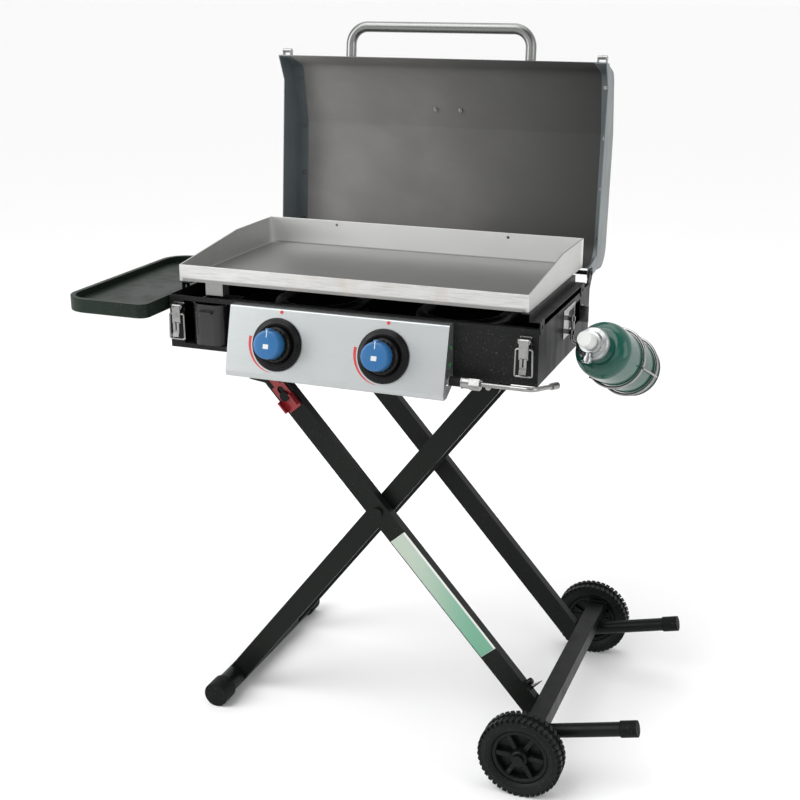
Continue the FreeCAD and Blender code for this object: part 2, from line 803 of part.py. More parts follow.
def shelf_brackets():
    brackets = []
    for y in shelf_hinge_y:
        leaf = box((-body_half - 2, y - 20, shelf_hinge_z - 22), (-body_half, y + 20, shelf_hinge_z + 16))
        lugs = []
        for start in (y - 13, y + 8):
            lugs.append(fuse(
                rod((shelf_hinge_x, start, shelf_hinge_z), (shelf_hinge_x, start + 5, shelf_hinge_z), 5),
                box((shelf_hinge_x, start, shelf_hinge_z - 5), (-body_half - 1, start + 5, shelf_hinge_z + 5)),
            ))
        pin = rod((shelf_hinge_x, y - 15, shelf_hinge_z), (shelf_hinge_x, y + 15, shelf_hinge_z), shelf_pin_r)
        brackets.append(fuse(leaf, *lugs, pin))
    return Part.makeCompound(brackets)


# ---------------------------------------------------------------- folding cart

outer_in = outer_half - leg_depth
inner_out = outer_in - layer
inner_in = inner_out - leg_depth


def along_foot(distance):
    """Point on the foot leg's axis, measured down from its top pivot."""
    lean = math.radians(foot_lean)
    return foot_pivot_x - distance * math.cos(lean), pivot_z - distance * math.sin(lean)


def along_wheel(distance):
    """Point on the wheel leg's axis, measured down from its hook pin."""
    lean = math.radians(hook_lean)
    return hook_x + distance * math.cos(lean), pivot_z - distance * math.sin(lean)


def leg(start, end, y0, y1):
    """Rectangular tube from a pivot to its lower end, its side walls rounded about the pivot."""
    run = V(end[0] - start[0], 0, end[1] - start[1])
    half = leg_width / 2
    depth = y1 - y0
    solid = Part.makeBox(run.Length, depth, leg_width, V(0, y0, -half))
    solid = fuse(solid, rod((0, y0, 0), (0, y1, 0), half))
    hollow_low = V(-half - 1, y0 + leg_wall, leg_wall - half)
    hollow = Part.makeBox(run.Length + half + 2, depth - 2 * leg_wall, leg_width - 2 * leg_wall, hollow_low)
    tube = solid.cut(hollow)
    tube.rotate(V(0, 0, 0), V(0, -1, 0), math.degrees(math.atan2(run.z, run.x)))
    tube.translate(V(start[0], 0, start[1]))
    return tube


foot_z = foot_cap_r
foot_reach = (pivot_z - foot_z) / math.sin(math.radians(foot_lean))
foot_x = along_foot(foot_reach)[0]
wheel_reach = arm_hook + (cross_z - beam_z + 14) / math.sin(math.radians(hook_lean))


def bolt_way(x, z, y0, y1, radius):
    return rod((x, y0 - 2, z), (x, y1 + 2, z), radius)


def foot_leg():
    """Front inner leg: top pivot at the firebox, crossing bolt, foot tube at the bottom."""
    tube = leg(along_foot(0), along_foot(foot_reach), -inner_out, -inner_in)
    tube = tube.cut(rod((foot_x, -inner_out - 1, foot_z), (foot_x, -inner_in + 1, foot_z), foot_tube_r + 0.02))
    tube = tube.cut(bolt_way(foot_pivot_x, pivot_z, -inner_out, -inner_in, bolt_r + running))
    return tube.cut(bolt_way(cross_x, cross_z, -inner_out, -inner_in, bolt_r + running))


def foot_tube():
    half = foot_span / 2 - 12
    return pipe((foot_x, -half, foot_z), (foot_x, half, foot_z), foot_tube_r, leg_wall)


def foot_caps():
    cap_length = 38.0
    caps = []
    for side in (-1, 1):
        start, end = side * (foot_span / 2 - cap_length), side * foot_span / 2
        cup = rod((foot_x, start, foot_z), (foot_x, end, foot_z), foot_cap_r)
        socket = rod((foot_x, start - side, foot_z), (foot_x, side * (foot_span / 2 - 12), foot_z), foot_tube_r + 0.02)
        caps.append(cup.cut(socket))
    return Part.makeCompound(caps)


def crossing_bolts():
    bolts = []
    for side in (-1, 1):
        head = rod((cross_x, side * (outer_half + 0.5), cross_z), (cross_x, side * (outer_half + 5.5), cross_z), 9)
        shank = rod((cross_x, side * (inner_in - 0.4), cross_z), (cross_x, side * (outer_half + 2), cross_z), bolt_r)
        nut = rod((cross_x, side * (inner_in - 6.5), cross_z), (cross_x, side * (inner_in - 0.4), cross_z), 8)
        bolts.append(fuse(head, shank, nut))
    return Part.makeCompound(bolts)


def wheel_leg():
    """Front outer leg: hook pin at the top, crossing bolt, axle beam at the bottom."""
    tube = leg(along_wheel(0), along_wheel(wheel_reach), -outer_half, -outer_in)
    tube = tube.cut(beam_block())
    tube = tube.cut(bolt_way(hook_x, pivot_z, -outer_half, -outer_in, bolt_r + 0.02))
    return tube.cut(bolt_way(cross_x, cross_z, -outer_half, -outer_in, bolt_r + running))


def hook_pins():
    pins = []
    for side in (-1, 1):
        head = rod((hook_x, side * (outer_half + 0.1), pivot_z), (hook_x, side * (outer_half + 4), pivot_z), 8)
        shank = rod((hook_x, side * (inner_out + 0.5), pivot_z), (hook_x, side * (outer_half + 1), pivot_z), bolt_r)
        pins.append(fuse(head, shank))
    return Part.makeCompound(pins)


def beam_block():
    half = beam_side / 2
    return box((beam_x - half, -beam_length / 2, beam_z - half), (beam_x + half, beam_length / 2, beam_z + half))


def axle_beam():
    half = beam_side / 2 - leg_wall
    hollow = box((beam_x - half, -beam_length / 2 - 1, beam_z - half), (beam_x + half, beam_length / 2 + 1, beam_z + half))
    return beam_block().cut(hollow)


def stand_line(side):
    """Start and direction of a stand tube's axis, which rises away from the wheels."""
    rise = math.radians(stand_rise)
    start = V(beam_x - 2, side * stand_y, beam_z - beam_side / 2 - 7)
    return start, V(math.cos(rise), 0, math.sin(rise))


def stand_tubes():
    tubes = []
    for side in (-1, 1):
        start, direction = stand_line(side)
        tubes.append(pipe(start, start + direction * stand_length, stand_r, stand_wall).cut(beam_block()))
    return Part.makeCompound(tubes)


def stand_caps():
    caps = []
    for side in (-1, 1):
        start, direction = stand_line(side)
        end = start + direction * (stand_length + 3)
        cup = rod(end - direction * stand_cap_length, end, stand_cap_r)
        socket = rod(end - direction * (stand_cap_length + 1), end - direction * 3, stand_r + 0.02)
        caps.append(cup.cut(socket))
    return Part.makeCompound(caps)


axle_end = beam_length / 2 + 3 + wheel_gap + wheel_width + 4


def wheel_axles():
    """End plates of the beam, each with a stub axle and a retaining cap."""
    axles = []
    half = beam_side / 2 + 4
    for side in (-1, 1):
        inner = side * beam_length / 2
        outline = [
            (beam_x - half, beam_z + half), (beam_x + half, beam_z + half), (beam_x + half, beam_z - half),
            (wheel_x + 14, wheel_r - 14), (wheel_x - 14, wheel_r - 14),
        ]
        cheek = plate(outline, on_xz(inner), V(0, side * 3, 0))
        stub = rod((wheel_x, inner, wheel_r), (wheel_x, side * axle_end, wheel_r), axle_r)
        shoulder = rod((wheel_x, inner, wheel_r), (wheel_x, inner + side * (3 + wheel_gap - 0.5), wheel_r), 11)
        cap_in = side * (axle_end - 3.2)
        cap = rod((wheel_x, cap_in, wheel_r), (wheel_x, side * (axle_end + 2), wheel_r), 10)
        axles.append(fuse(cheek, stub, shoulder, cap))
    return Part.makeCompound(axles)


wheel_in = beam_length / 2 + 3 + wheel_gap
wheel_mid = wheel_in + wheel_width / 2


def wheel_rim():
    """Front wheel's moulded rim: hub, dished web with six openings, and bead seat."""
    half = wheel_width / 2
    parts = turned_profile([
        (axle_r + running, -half), (15, -half), (15, -5), (rim_r - 8, -5), (rim_r - 8, -half + 4), (rim_r, -half + 4),
        (rim_r, half - 4), (rim_r - 8, half - 4), (rim_r - 8, 3), (15, 3), (15, half), (axle_r + running, half),
    ])
    for n in range(6):
        angle = math.radians(60 * n + 30)
        x, y = 28.5 * math.cos(angle), 28.5 * math.sin(angle)
        parts = parts.cut(rod((x, y, -half), (x, y, half), 9.5))
    return aim(parts, (wheel_x, -wheel_mid, wheel_r), (0, -1, 0))


def wheel_tyre():
    half = wheel_width / 2
    band = turned_profile([
        (rim_r + 0.02, -half + 4), (rim_r + 6, -half + 0.5), (wheel_r - 8, -half), (wheel_r - 1.5, -half + 5),
        (wheel_r, -half + 10), (wheel_r, half - 10), (wheel_r - 1.5, half - 5), (wheel_r - 8, half), (rim_r + 6, half - 0.5),
        (rim_r + 0.02, half - 4),
    ])
    return aim(band, (wheel_x, -wheel_mid, wheel_r), (0, -1, 0))


def ear_outline(x, z, half, top):
    return [(x - half, top), (x - half, z - 4), (x - 6, z - half), (x + 6, z - half), (x + half, z - 4), (x + half, top)]


def pivot_brackets():
    """Clevises under the firebox that hold the foot legs' top pivots."""
    brackets = []
    outer_ear = (inner_out + 0.75, inner_out + 0.75 + plate_thick)
    inner_ear = (inner_in - 0.75 - plate_thick, inner_in - 0.75)
    for side in (-1, 1):
        cap_low, cap_high = sorted((side * inner_ear[0], side * outer_ear[1]))
        cap = box((foot_pivot_x - 24, cap_low, body_bottom - 3), (foot_pivot_x + 24, cap_high, body_bottom))
        ears = []
        for low, high in (outer_ear, inner_ear):
            outline = ear_outline(foot_pivot_x, pivot_z, 16, body_bottom - 3)
            start = min(side * low, side * high)
            ears.append(plate(outline, on_xz(start), V(0, high - low, 0)))
        way = rod((foot_pivot_x, cap_low - 1, pivot_z), (foot_pivot_x, cap_high + 1, pivot_z), bolt_r + 0.02)
        brackets.append(fuse(cap, *ears).cut(way))
    return Part.makeCompound(brackets)


def top_pivot_bolts():
    bolts = []
    for side in (-1, 1):
        start, end = inner_in - 0.75 - plate_thick, inner_out + 0.75 + plate_thick
        shank = rod((foot_pivot_x, side * (start - 2), pivot_z), (foot_pivot_x, side * (end + 0.2), pivot_z), bolt_r)
        head = rod((foot_pivot_x, side * (start - 5), pivot_z), (foot_pivot_x, side * (start - 0.1), pivot_z), 8.5)
        bolts.append(fuse(shank, head))
    return Part.makeCompound(bolts)


slot_play = 3.2


def hook_brackets():
    """Hook plates that the wheel legs' pins slide into from the left, in the layer between the legs."""
    brackets = []
    low, high = inner_out + 0.75, inner_out + 0.75 + plate_thick
    for side in (-1, 1):
        start = min(side * low, side * high)
        outline = [(-215, body_bottom), (-215, 664), (-205, 645), (-168, 640), (-146, 640), (-138, 660), (-138, body_bottom)]
        hook = plate(outline, on_xz(start), V(0, plate_thick, 0))
        reach = bolt_r + slot_play
        slot = fuse(
            rod((hook_x, start - 1, pivot_z), (hook_x, start + plate_thick + 1, pivot_z), reach),
            box((-230, start - 1, pivot_z - reach), (hook_x, start + plate_thick + 1, pivot_z + reach)),
        )
        foot_low, foot_high = sorted((side * low, side * (low - 30)))
        foot = box((-205, foot_low, body_bottom - 2.5), (-145, foot_high, body_bottom))
        brackets.append(fuse(hook.cut(slot), foot))
    return Part.makeCompound(brackets)


boss_reach = 67.5


def lock_boss():
    x, z = along_wheel(boss_reach)
    y = -outer_half
    collar = rod((x, y - 6, z), (x, y, z), 6)
    head = rod((x, y - 8.5, z), (x, y - 6, z), 9)
    return fuse(collar, head)


def lock_slider():
    """Red sliding catch on the front wheel leg: slotted plate, two finger ears and a tongue up to the hook."""
    y = -outer_half
    slab = box((-24, y - 3, -14), (30, y - 0.4, 14))
    tongue = box((-42, y - 3, -7), (-20, y - 0.4, 7))
    ears = [box((2, y - 16, side * 14 - 1.5), (26, y - 0.4, side * 14 + 1.5)) for side in (-1, 1)]
    slot = fuse(
        rod((0, y - 20, 0), (0, y + 1, 0), 6.3), rod((-14, y - 20, 0), (-14, y + 1, 0), 6.3),
        box((-14, y - 20, -6.3), (0, y + 1, 6.3)),
    )
    catch = fuse(slab, tongue, *ears).cut(slot)
    catch.rotate(V(0, 0, 0), V(0, 1, 0), hook_lean)
    x, z = along_wheel(boss_reach)
    catch.translate(V(x, 0, z))
    return catch


# ---------------------------------------------------------------- gas line, cylinder and cradle

nut_start = panel_right + 24
nut_end = nut_start + 32
tube_bend_x = body_half - 2
tube_tip = (body_half + 19, body_front + 26, 699.0)


def inlet_hose():
    return rod((panel_right + 3.2, pipe_y, pipe_z), (nut_start - 0.1, pipe_y, pipe_z), 8)


def inlet_nut():
    round_part = rod((nut_start, pipe_y, pipe_z), (nut_start + 14, pipe_y, pipe_z), 9.5)
    corners = [(11.5 * math.cos(math.radians(60 * n)), 11.5 * math.sin(math.radians(60 * n))) for n in range(6)]
    hexagon = plate(
        [(pipe_y + a, pipe_z + b) for a, b in corners], on_yz(nut_start + 14), V(nut_end - nut_start - 14, 0, 0)
    )
    ring = rod((nut_start, pipe_y, pipe_z), (nut_start + 2, pipe_y, pipe_z), 10.5)
    return fuse(round_part, ring, hexagon)


def inlet_tube():
    run = bent_rod([(nut_end, pipe_y, pipe_z), (tube_bend_x, pipe_y, pipe_z), tube_tip], 18, pipe_r)
    last = V(*tube_tip) - V(tube_bend_x, pipe_y, pipe_z)
    last.normalize()
    end = rod(V(*tube_tip) - last * 4, V(*tube_tip) + last * 12, pipe_r + 2)
    return fuse(run, end)


def on_gas_axis(distance):
    return V(*gas_shoulder) + V(*gas_axis).normalize() * distance


def gas_frame(shape):
    """Places a shape drawn along +Z, with the cylinder's shoulder at its origin and its base up +Z."""
    return aim(shape, gas_shoulder, gas_axis)


neck_end = -33.0
gas_wall = 1.6


def gas_outline(inset):
    """Half outline of the cylinder, drawn in by inset: neck, domed shoulder, barrel and dished base."""
    top, low, side = neck_end + inset, gas_barrel - inset, gas_r - inset
    knee_r = gas_knee - inset
    knee_x = gas_r - gas_knee
    heel_r = 10 - inset
    heel_z = gas_barrel - 10
    slant = math.sqrt(0.5)
    knee_mid = V(knee_x + knee_r * slant, 0, 4 - knee_r * slant)
    heel_mid = V(gas_r - 10 + heel_r * slant, 0, heel_z + heel_r * slant)
    points = [
        V(gas_r - 10, 0, low), V(gas_r - 16 + inset, 0, low), V(20, 0, low - 9), V(0, 0, low - 9), V(0, 0, top),
        V(13 - inset, 0, top), V(13 - inset, 0, top + 6), V(knee_x, 0, 4 - knee_r),
    ]
    edges = [Part.LineSegment(start, end).toShape() for start, end in zip(points, points[1:])]
    edges.append(Part.Arc(points[-1], knee_mid, V(side, 0, 4)).toShape())
    edges.append(Part.LineSegment(V(side, 0, 4), V(side, 0, heel_z)).toShape())
    edges.append(Part.Arc(V(side, 0, heel_z), heel_mid, points[0]).toShape())
    return Part.Face(Part.Wire(Part.__sortEdges__(edges))).revolve(V(0, 0, 0), V(0, 0, 1), 360)


def gas_cylinder():
    """Thin steel bottle with a small valve bore in its neck."""
    valve_bore = rod((0, 0, neck_end - 1), (0, 0, neck_end + 8), 2.5)
    return gas_frame(gas_outline(0).cut(gas_outline(gas_wall)).cut(valve_bore))


def regulator():
    """Round pressure regulator on the cylinder's neck, with its outlet below."""
    top = neck_end - 0.2
    body = turned_profile([
        (0, top), (16, top), (16, top - 6), (26, top - 8), (28, top - 11), (28, top - 18), (26, top - 21), (20, top - 23),
        (18, top - 32), (0, top - 32),
    ])
    down = V(-0.08, -0.39, -0.81)
    root = on_gas_axis(top - 25)
    outlet = rod(root, root + down * 38, 6)
    nut = rod(root + down * 27, root + down * 36, 8.5)
    return fuse(gas_frame(body), outlet, nut)


def regulator_cap():
    top = neck_end - 32.3
    cap = turned_profile([(0, top), (13.5, top), (13.5, top - 20), (12, top - 23), (0, top - 23)])
    return gas_frame(cap)


def cylinder_cradle():
    """Two wire rings round the cylinder, tied by short wires, on an arm that hangs in the side bracket."""
    ring_r = gas_r + cradle_gap + cradle_wire
    tie_r = ring_r + cradle_wire
    near, far = cradle_rings
    parts = []
    for height in cradle_rings:
        parts.append(gas_frame(Part.makeTorus(ring_r, cradle_wire, V(0, 0, height))))
    for angle in (0, 120, 240):
        x, y = tie_r * math.cos(math.radians(angle)), tie_r * math.sin(math.radians(angle))
        parts.append(gas_frame(rod((x, y, near - 4), (x, y, far + 4), cradle_wire * 0.8)))
    low, high = V(*cradle_rod, 738), V(*cradle_rod, 786)
    centre, axis = on_gas_axis(far), V(*gas_axis).normalize()
    away = low - centre
    away = (away - axis * away.dot(axis)).normalize()
    parts.append(bent_rod([high, low, centre + away * (ring_r + 1)], 7, cradle_wire))
    return fuse(*parts)


def cradle_bracket():
    """Plated bracket on the firebox's right side with two knuckles for the cradle's rod."""
    x, y = cradle_rod
    leaf = box((body_half, y - 14, 742), (body_half + sheet, y + 66, 793))
    knuckles = []
    for low in (750.0, 774.0):
        barrel = rod((x, y, low), (x, y, low + 8), 5)
        web = box((body_half, y - 2, low), (x, y + 2, low + 8))
        knuckles.append(fuse(barrel, web))
    catch = box((body_half, y + 110, 744), (body_half + 16, y + 112, 774))
    catch_foot = box((body_half, y + 110, 744), (body_half + sheet, y + 126, 774))
    hole = rod((x, y, 730), (x, y, 800), cradle_wire + running)
    window = box((body_half - 1, y + 20, 752), (body_half + 3, y + 56, 784))
    return fuse(leaf.cut(window), *knuckles).cut(hole), fuse(catch, catch_foot)


# ---------------------------------------------------------------- assembly

def build():
    shapes["firebox_shell"] = firebox_shell()
    shapes["left_burner"] = burner(burner_x[0], knob_x[0])
    shapes["right_burner"] = burner(burner_x[1], knob_x[1])
    shapes["gas_manifold"] = gas_manifold()
    shapes["gas_valves"] = gas_valves()
    shapes["control_panel"] = control_panel()
    shapes["knob_bezels"] = knob_bezels()
    shapes["right_plate_rail"] = plate_rail(body_front)
    shapes["left_plate_rail"] = mirrored_x(plate_rail(body_front + left_rail_start))
    shapes["latch_bases"] = Part.makeCompound([latch_base(-latch_x), latch_base(latch_x)])
    shapes["inlet_hose"] = inlet_hose()
    shapes["inlet_nut"] = inlet_nut()
    shapes["inlet_tube"] = inlet_tube()
    leaf, catch = cradle_bracket()
    shapes["cradle_bracket"] = Part.makeCompound([leaf, catch])
    shapes["lid_hinge"] = lid_hinge()
    shapes["hook_brackets"] = hook_brackets()
    shapes["pivot_brackets"] = pivot_brackets()
    shapes["top_pivot_bolts"] = top_pivot_bolts()
    shapes["shelf_brackets"] = shelf_brackets()

    right_end = lid_end()
    ways = rivet_ways()
    screw_ways = [through_lid(x, y, -9, 3, 2) for x, y in badge_screws]
    shapes["lid_shell"] = opened(lid_shell().cut(ways + screw_ways))
    shapes["right_lid_end"] = opened(right_end.cut(ways))
    shapes["left_lid_end"] = opened(mirrored_x(right_end).cut(ways))
    shapes["lid_rivets"] = opened(lid_rivets())
    shapes["lid_handle"] = opened(lid_handle())
    shapes["lid_keepers"] = opened(lid_keepers())
    shapes["lid_badge"] = opened(lid_badge())

    shapes["griddle_plate"] = griddle_plate()
    shapes["grease_chute"] = grease_chute()
    shapes["grease_cup"] = grease_cup()
    shapes["side_shelf"] = side_shelf()

    for name, x in (("left", knob_x[0]), ("right", knob_x[1])):
        shapes[name + "_knob"] = knob(x)
        shapes[name + "_stem"] = stem(x)
    for name, x in (("left", -latch_x), ("right", latch_x)):
        shapes[name + "_latch_lever"] = latch_lever(x)
        shapes[name + "_latch_bail"] = latch_bail(x)

    front_foot = foot_leg()
    shapes["front_foot_leg"] = front_foot
    shapes["rear_foot_leg"] = mirrored_y(front_foot)
    shapes["foot_tube"] = foot_tube()
    shapes["foot_caps"] = foot_caps()
    shapes["crossing_bolts"] = crossing_bolts()

    front_wheel_side = wheel_leg()
    shapes["front_wheel_leg"] = front_wheel_side
    shapes["rear_wheel_leg"] = mirrored_y(front_wheel_side)
    shapes["hook_pins"] = hook_pins()
    shapes["axle_beam"] = axle_beam()
    shapes["stand_tubes"] = stand_tubes()
    shapes["stand_caps"] = stand_caps()
    shapes["wheel_axles"] = wheel_axles()
    shapes["lock_boss"] = lock_boss()
    shapes["lock_slider"] = lock_slider()
    shapes["front_wheel_rim"] = wheel_rim()
    shapes["front_tyre"] = wheel_tyre()
    shapes["rear_wheel_rim"] = mirrored_y(wheel_rim())
    shapes["rear_tyre"] = mirrored_y(wheel_tyre())

    shapes["gas_cylinder"] = gas_cylinder()
    shapes["regulator"] = regulator()
    shapes["regulator_cap"] = regulator_cap()
    shapes["cylinder_cradle"] = cylinder_cradle()


def origin_shift():
    bounds = [shape.BoundBox for shape in shapes.values()]
    middle_x = (min(b.XMin for b in bounds) + max(b.XMax for b in bounds)) / 2
    middle_y = (min(b.YMin for b in bounds) + max(b.YMax for b in bounds)) / 2
    return V(-middle_x, -middle_y, 0)


build()
shift = origin_shift()
os.makedirs("parts", exist_ok=True)
for name, shape in shapes.items():
    solid = shape.copy()
    solid.translate(shift)
    if not solid.isValid():
        print("not valid:", name)
    solid.exportStep("parts/" + name + ".step")
print(len(shapes), "nodes, moved by", [round(value, 2) for value in shift])
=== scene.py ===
import json
import math
import bpy
import bmesh
from mathutils import Matrix, Vector

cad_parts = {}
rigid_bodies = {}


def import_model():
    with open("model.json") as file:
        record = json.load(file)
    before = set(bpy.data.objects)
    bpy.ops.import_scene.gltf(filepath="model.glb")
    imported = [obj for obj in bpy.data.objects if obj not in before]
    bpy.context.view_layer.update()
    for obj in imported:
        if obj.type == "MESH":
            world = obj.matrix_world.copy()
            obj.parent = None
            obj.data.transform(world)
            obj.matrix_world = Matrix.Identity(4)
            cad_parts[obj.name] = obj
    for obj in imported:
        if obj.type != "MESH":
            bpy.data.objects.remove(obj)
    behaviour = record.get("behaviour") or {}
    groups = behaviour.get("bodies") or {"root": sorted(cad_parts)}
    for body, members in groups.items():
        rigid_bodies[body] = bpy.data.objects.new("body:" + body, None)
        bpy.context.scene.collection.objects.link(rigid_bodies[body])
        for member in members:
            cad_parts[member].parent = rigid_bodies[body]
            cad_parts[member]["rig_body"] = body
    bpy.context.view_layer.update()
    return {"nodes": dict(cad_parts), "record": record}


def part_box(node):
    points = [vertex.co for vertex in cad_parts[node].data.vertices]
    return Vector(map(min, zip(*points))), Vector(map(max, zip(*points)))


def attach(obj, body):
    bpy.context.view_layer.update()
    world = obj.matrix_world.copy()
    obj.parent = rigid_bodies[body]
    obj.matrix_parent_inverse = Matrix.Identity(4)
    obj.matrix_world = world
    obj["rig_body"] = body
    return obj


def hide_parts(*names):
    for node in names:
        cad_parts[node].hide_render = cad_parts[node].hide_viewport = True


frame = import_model()
nodes = frame["nodes"]
slotOf = {part["node"]: part["material_slot"] for part in frame["record"]["subparts"]}
print("frame loaded:", len(nodes), "nodes")

mm = 0.001  # pieces are given in millimetres, and their meshes are in metres
boxLow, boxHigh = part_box("firebox_shell")
middle = Vector(((boxLow.x + boxHigh.x) / 2, (boxLow.y + boxHigh.y) / 2, 0))  # floor under the firebox


def at(x, y, z):
    return middle + Vector((x, y, z)) * mm


# camera and lights

view = {"place": (848.8, -2112.4, 1339.4), "turn": 21.12, "pitch": 18.3, "lens": 57.9, "film": 36, "near": 0.05}

camData = bpy.data.cameras.new("camera")
camData.lens, camData.sensor_width, camData.clip_start = view["lens"], view["film"], view["near"]
cam = bpy.data.objects.new("camera", camData)
cam.location = at(*view["place"])
cam.rotation_euler = (math.radians(90 - view["pitch"]), 0, math.radians(view["turn"]))
bpy.context.scene.collection.objects.link(cam)
bpy.context.scene.camera = cam

lamps = {  # place, width, height, watts
    "left": ((-2300, -1700, 1500), 1.5, 1.9, 34),
    "right": ((2500, -500, 1500), 1.3, 2.0, 15),
    "front": ((500, -3200, 2300), 2.2, 1.2, 9),
    "top": ((-200, 300, 3200), 2.4, 2.0, 26),
}
lampAim = (0, 0, 650)
sunLight = {"power": 1.75, "spread": 50, "from": (-0.42, -0.5, 0.76), "away": 3}


def hang(name, kind, place, aim):
    lampData = bpy.data.lights.new(name, kind)
    lamp = bpy.data.objects.new(name, lampData)
    lamp.location = place
    lamp.rotation_euler = (aim - place).to_track_quat("-Z", "Y").to_euler()
    bpy.context.scene.collection.objects.link(lamp)
    return lampData


for name, (place, wide, high, power) in lamps.items():
    lampData = hang(name, "AREA", at(*place), at(*lampAim))
    lampData.shape = "RECTANGLE"
    lampData.size, lampData.size_y, lampData.energy = wide, high, power
sun = hang("sun", "SUN", middle + sunLight["away"] * Vector(sunLight["from"]), middle)
sun.energy, sun.angle = sunLight["power"], math.radians(sunLight["spread"])

# the studio round it: bright behind the grill and along the horizon, dim above and in front

studio = {"dim": 0.24, "bright": 0.97, "backFrom": -0.35, "backTo": 0.3, "bandTop": 0.13, "bandEnd": 0.34}

world = bpy.data.worlds.new("studio")
bpy.context.scene.world = world
world.use_nodes = True
sky = world.node_tree


def skyNode(kind, values):
    made = sky.nodes.new(kind)
    for place, value in values.items():
        if isinstance(value, bpy.types.NodeSocket):
            sky.links.new(value, made.inputs[place])
        else:
            made.inputs[place].default_value = value
    return made


def skyRamp(value, start, end, first, last):
    return skyNode("ShaderNodeMapRange", {0: value, 1: start, 2: end, 3: first, 4: last}).outputs[0]


aim = skyNode("ShaderNodeSeparateXYZ", {0: skyNode("ShaderNodeTexCoord", {}).outputs["Generated"]})
behind = skyRamp(aim.outputs[1], studio["backFrom"], studio["backTo"], 0, 1)
band = skyRamp(aim.outputs[2], studio["bandTop"], studio["bandEnd"], 1, 0)
lit = skyNode("ShaderNodeMath", {0: behind, 1: band})
lit.operation = "MAXIMUM"
level = skyRamp(lit.outputs[0], 0, 1, studio["dim"], studio["bright"])
sky.links.new(level, sky.nodes["Background"].inputs["Strength"])
sky.nodes["Background"].inputs["Color"].default_value = (1, 1, 1, 1)
bpy.context.scene.view_settings.view_transform = "Standard"
print("camera and lights ready:", len(lamps) + 1, "lamps")


# shader maths

class Val:  # a socket that can stand in a sum
    def __init__(self, finish, socket):
        self.finish, self.socket = finish, socket

    def math(self, kind, *others):
        values = dict(enumerate((self,) + others))
        return self.finish.node("ShaderNodeMath", {"operation": kind}, values)

    def __add__(self, other):
        return self.math("ADD", other)

    def __mul__(self, other):
        return self.math("MULTIPLY", other)

    def __rsub__(self, other):
        return self.finish.node("ShaderNodeMath", {"operation": "SUBTRACT"}, {0: other, 1: self})

    __radd__ = __add__
    __rmul__ = __mul__


class Finish:  # one material and the nodes that feed it
    def __init__(self, name, color, rough, metal=0.0, **fixed):
        self.mat = bpy.data.materials.new(name)
        self.mat.use_nodes = True
        self.tree = self.mat.node_tree
        self.shader = self.tree.nodes["Principled BSDF"]
        self.shader.inputs["Base Color"].default_value = (*color, 1)
        self.shader.inputs["Roughness"].default_value = rough
        self.shader.inputs["Metallic"].default_value = metal
        for key, value in fixed.items():
            self.shader.inputs[key.replace("_", " ")].default_value = value

    def node(self, kind, settings=None, values=None, out=0):
        made = self.tree.nodes.new(kind)
        for key, value in (settings or {}).items():
            setattr(made, key, value)
        for key, value in (values or {}).items():
            self.put(made.inputs[key], value)
        return Val(self, made.outputs[out])

    def put(self, socket, value):
        if isinstance(value, Val):
            self.tree.links.new(value.socket, socket)
        else:
            socket.default_value = value

    def feed(self, key, value):
        self.put(self.shader.inputs[key], value)

    def coords(self, place=(0, 0, 0), scale=(1, 1, 1), turn=(0, 0, 0)):
        base = self.node("ShaderNodeTexCoord", out=3)
        return self.node("ShaderNodeMapping", {"vector_type": "TEXTURE"},
                         {0: base, "Location": place, "Rotation": turn, "Scale": scale})

    def xyz(self, vector, axis):
        return self.node("ShaderNodeSeparateXYZ", None, {0: vector}, out=axis)

    def noise(self, vector, scale, detail=2.0, rough=0.5):
        return self.node("ShaderNodeTexNoise", None,
                         {"Vector": vector, "Scale": scale, "Detail": detail, "Roughness": rough})

    def span(self, value, low, high, start=0.0, end=1.0):  # a smooth step
        return self.node("ShaderNodeMapRange", {"interpolation_type": "SMOOTHSTEP"},
                         {0: value, 1: low, 2: high, 3: start, 4: end})

    def mix(self, amount, first, second):
        return self.node("ShaderNodeMix", {"data_type": "RGBA"}, {0: amount, 6: first, 7: second}, out=2)

    def bump(self, height, strength, depth):
        values = {"Height": height, "Strength": strength, "Distance": depth * mm}
        self.feed("Normal", self.node("ShaderNodeBump", None, values))


def shade(color, amount):
    return tuple(min(1, c * amount) for c in color[:3]) + (1,)


# paint or moulded plastic: fine orange peel, soft patches, smears and a little dust
paintLook = {"patchScale": 7.0, "smearScale": 34.0, "smearDrop": 3.5, "speckScale": 620.0, "peel": 0.5,
             "dustColor": (0.42, 0.42, 0.4, 1)}


def coated(name, color, rough, grain=0.9, depth=0.06, dust=0.25, tint=0.35, **fixed):
    look = paintLook
    finish = Finish(name, color, rough, **fixed)
    space = finish.coords()
    patches = finish.span(finish.noise(space, look["patchScale"], 4.0), 0.3, 0.72)
    dropped = finish.coords(scale=(1, 1, look["smearDrop"]))
    smears = finish.span(finish.noise(dropped, look["smearScale"], 5.0), 0.35, 0.75)
    peel = finish.noise(space, 1 / (grain * mm), 2.0)
    specks = finish.span(finish.noise(space, look["speckScale"], 1.0), 0.70, 0.76)
    tone = finish.mix(patches, shade(color, 1 - tint / 2), shade(color, 1 + tint / 2))
    finish.feed("Base Color", finish.mix(specks * dust, tone, look["dustColor"]))
    finish.feed("Roughness", rough - 0.05 + smears * 0.1 + patches * 0.05)
    finish.bump(peel, look["peel"], depth)
    return finish


# steel with a drawn grain along one axis, wide streaks and faint stains
drawnLook = {"pull": 60, "widePull": 18.7, "wideScale": 160.0, "stainScale": 6.0, "groove": 0.35}


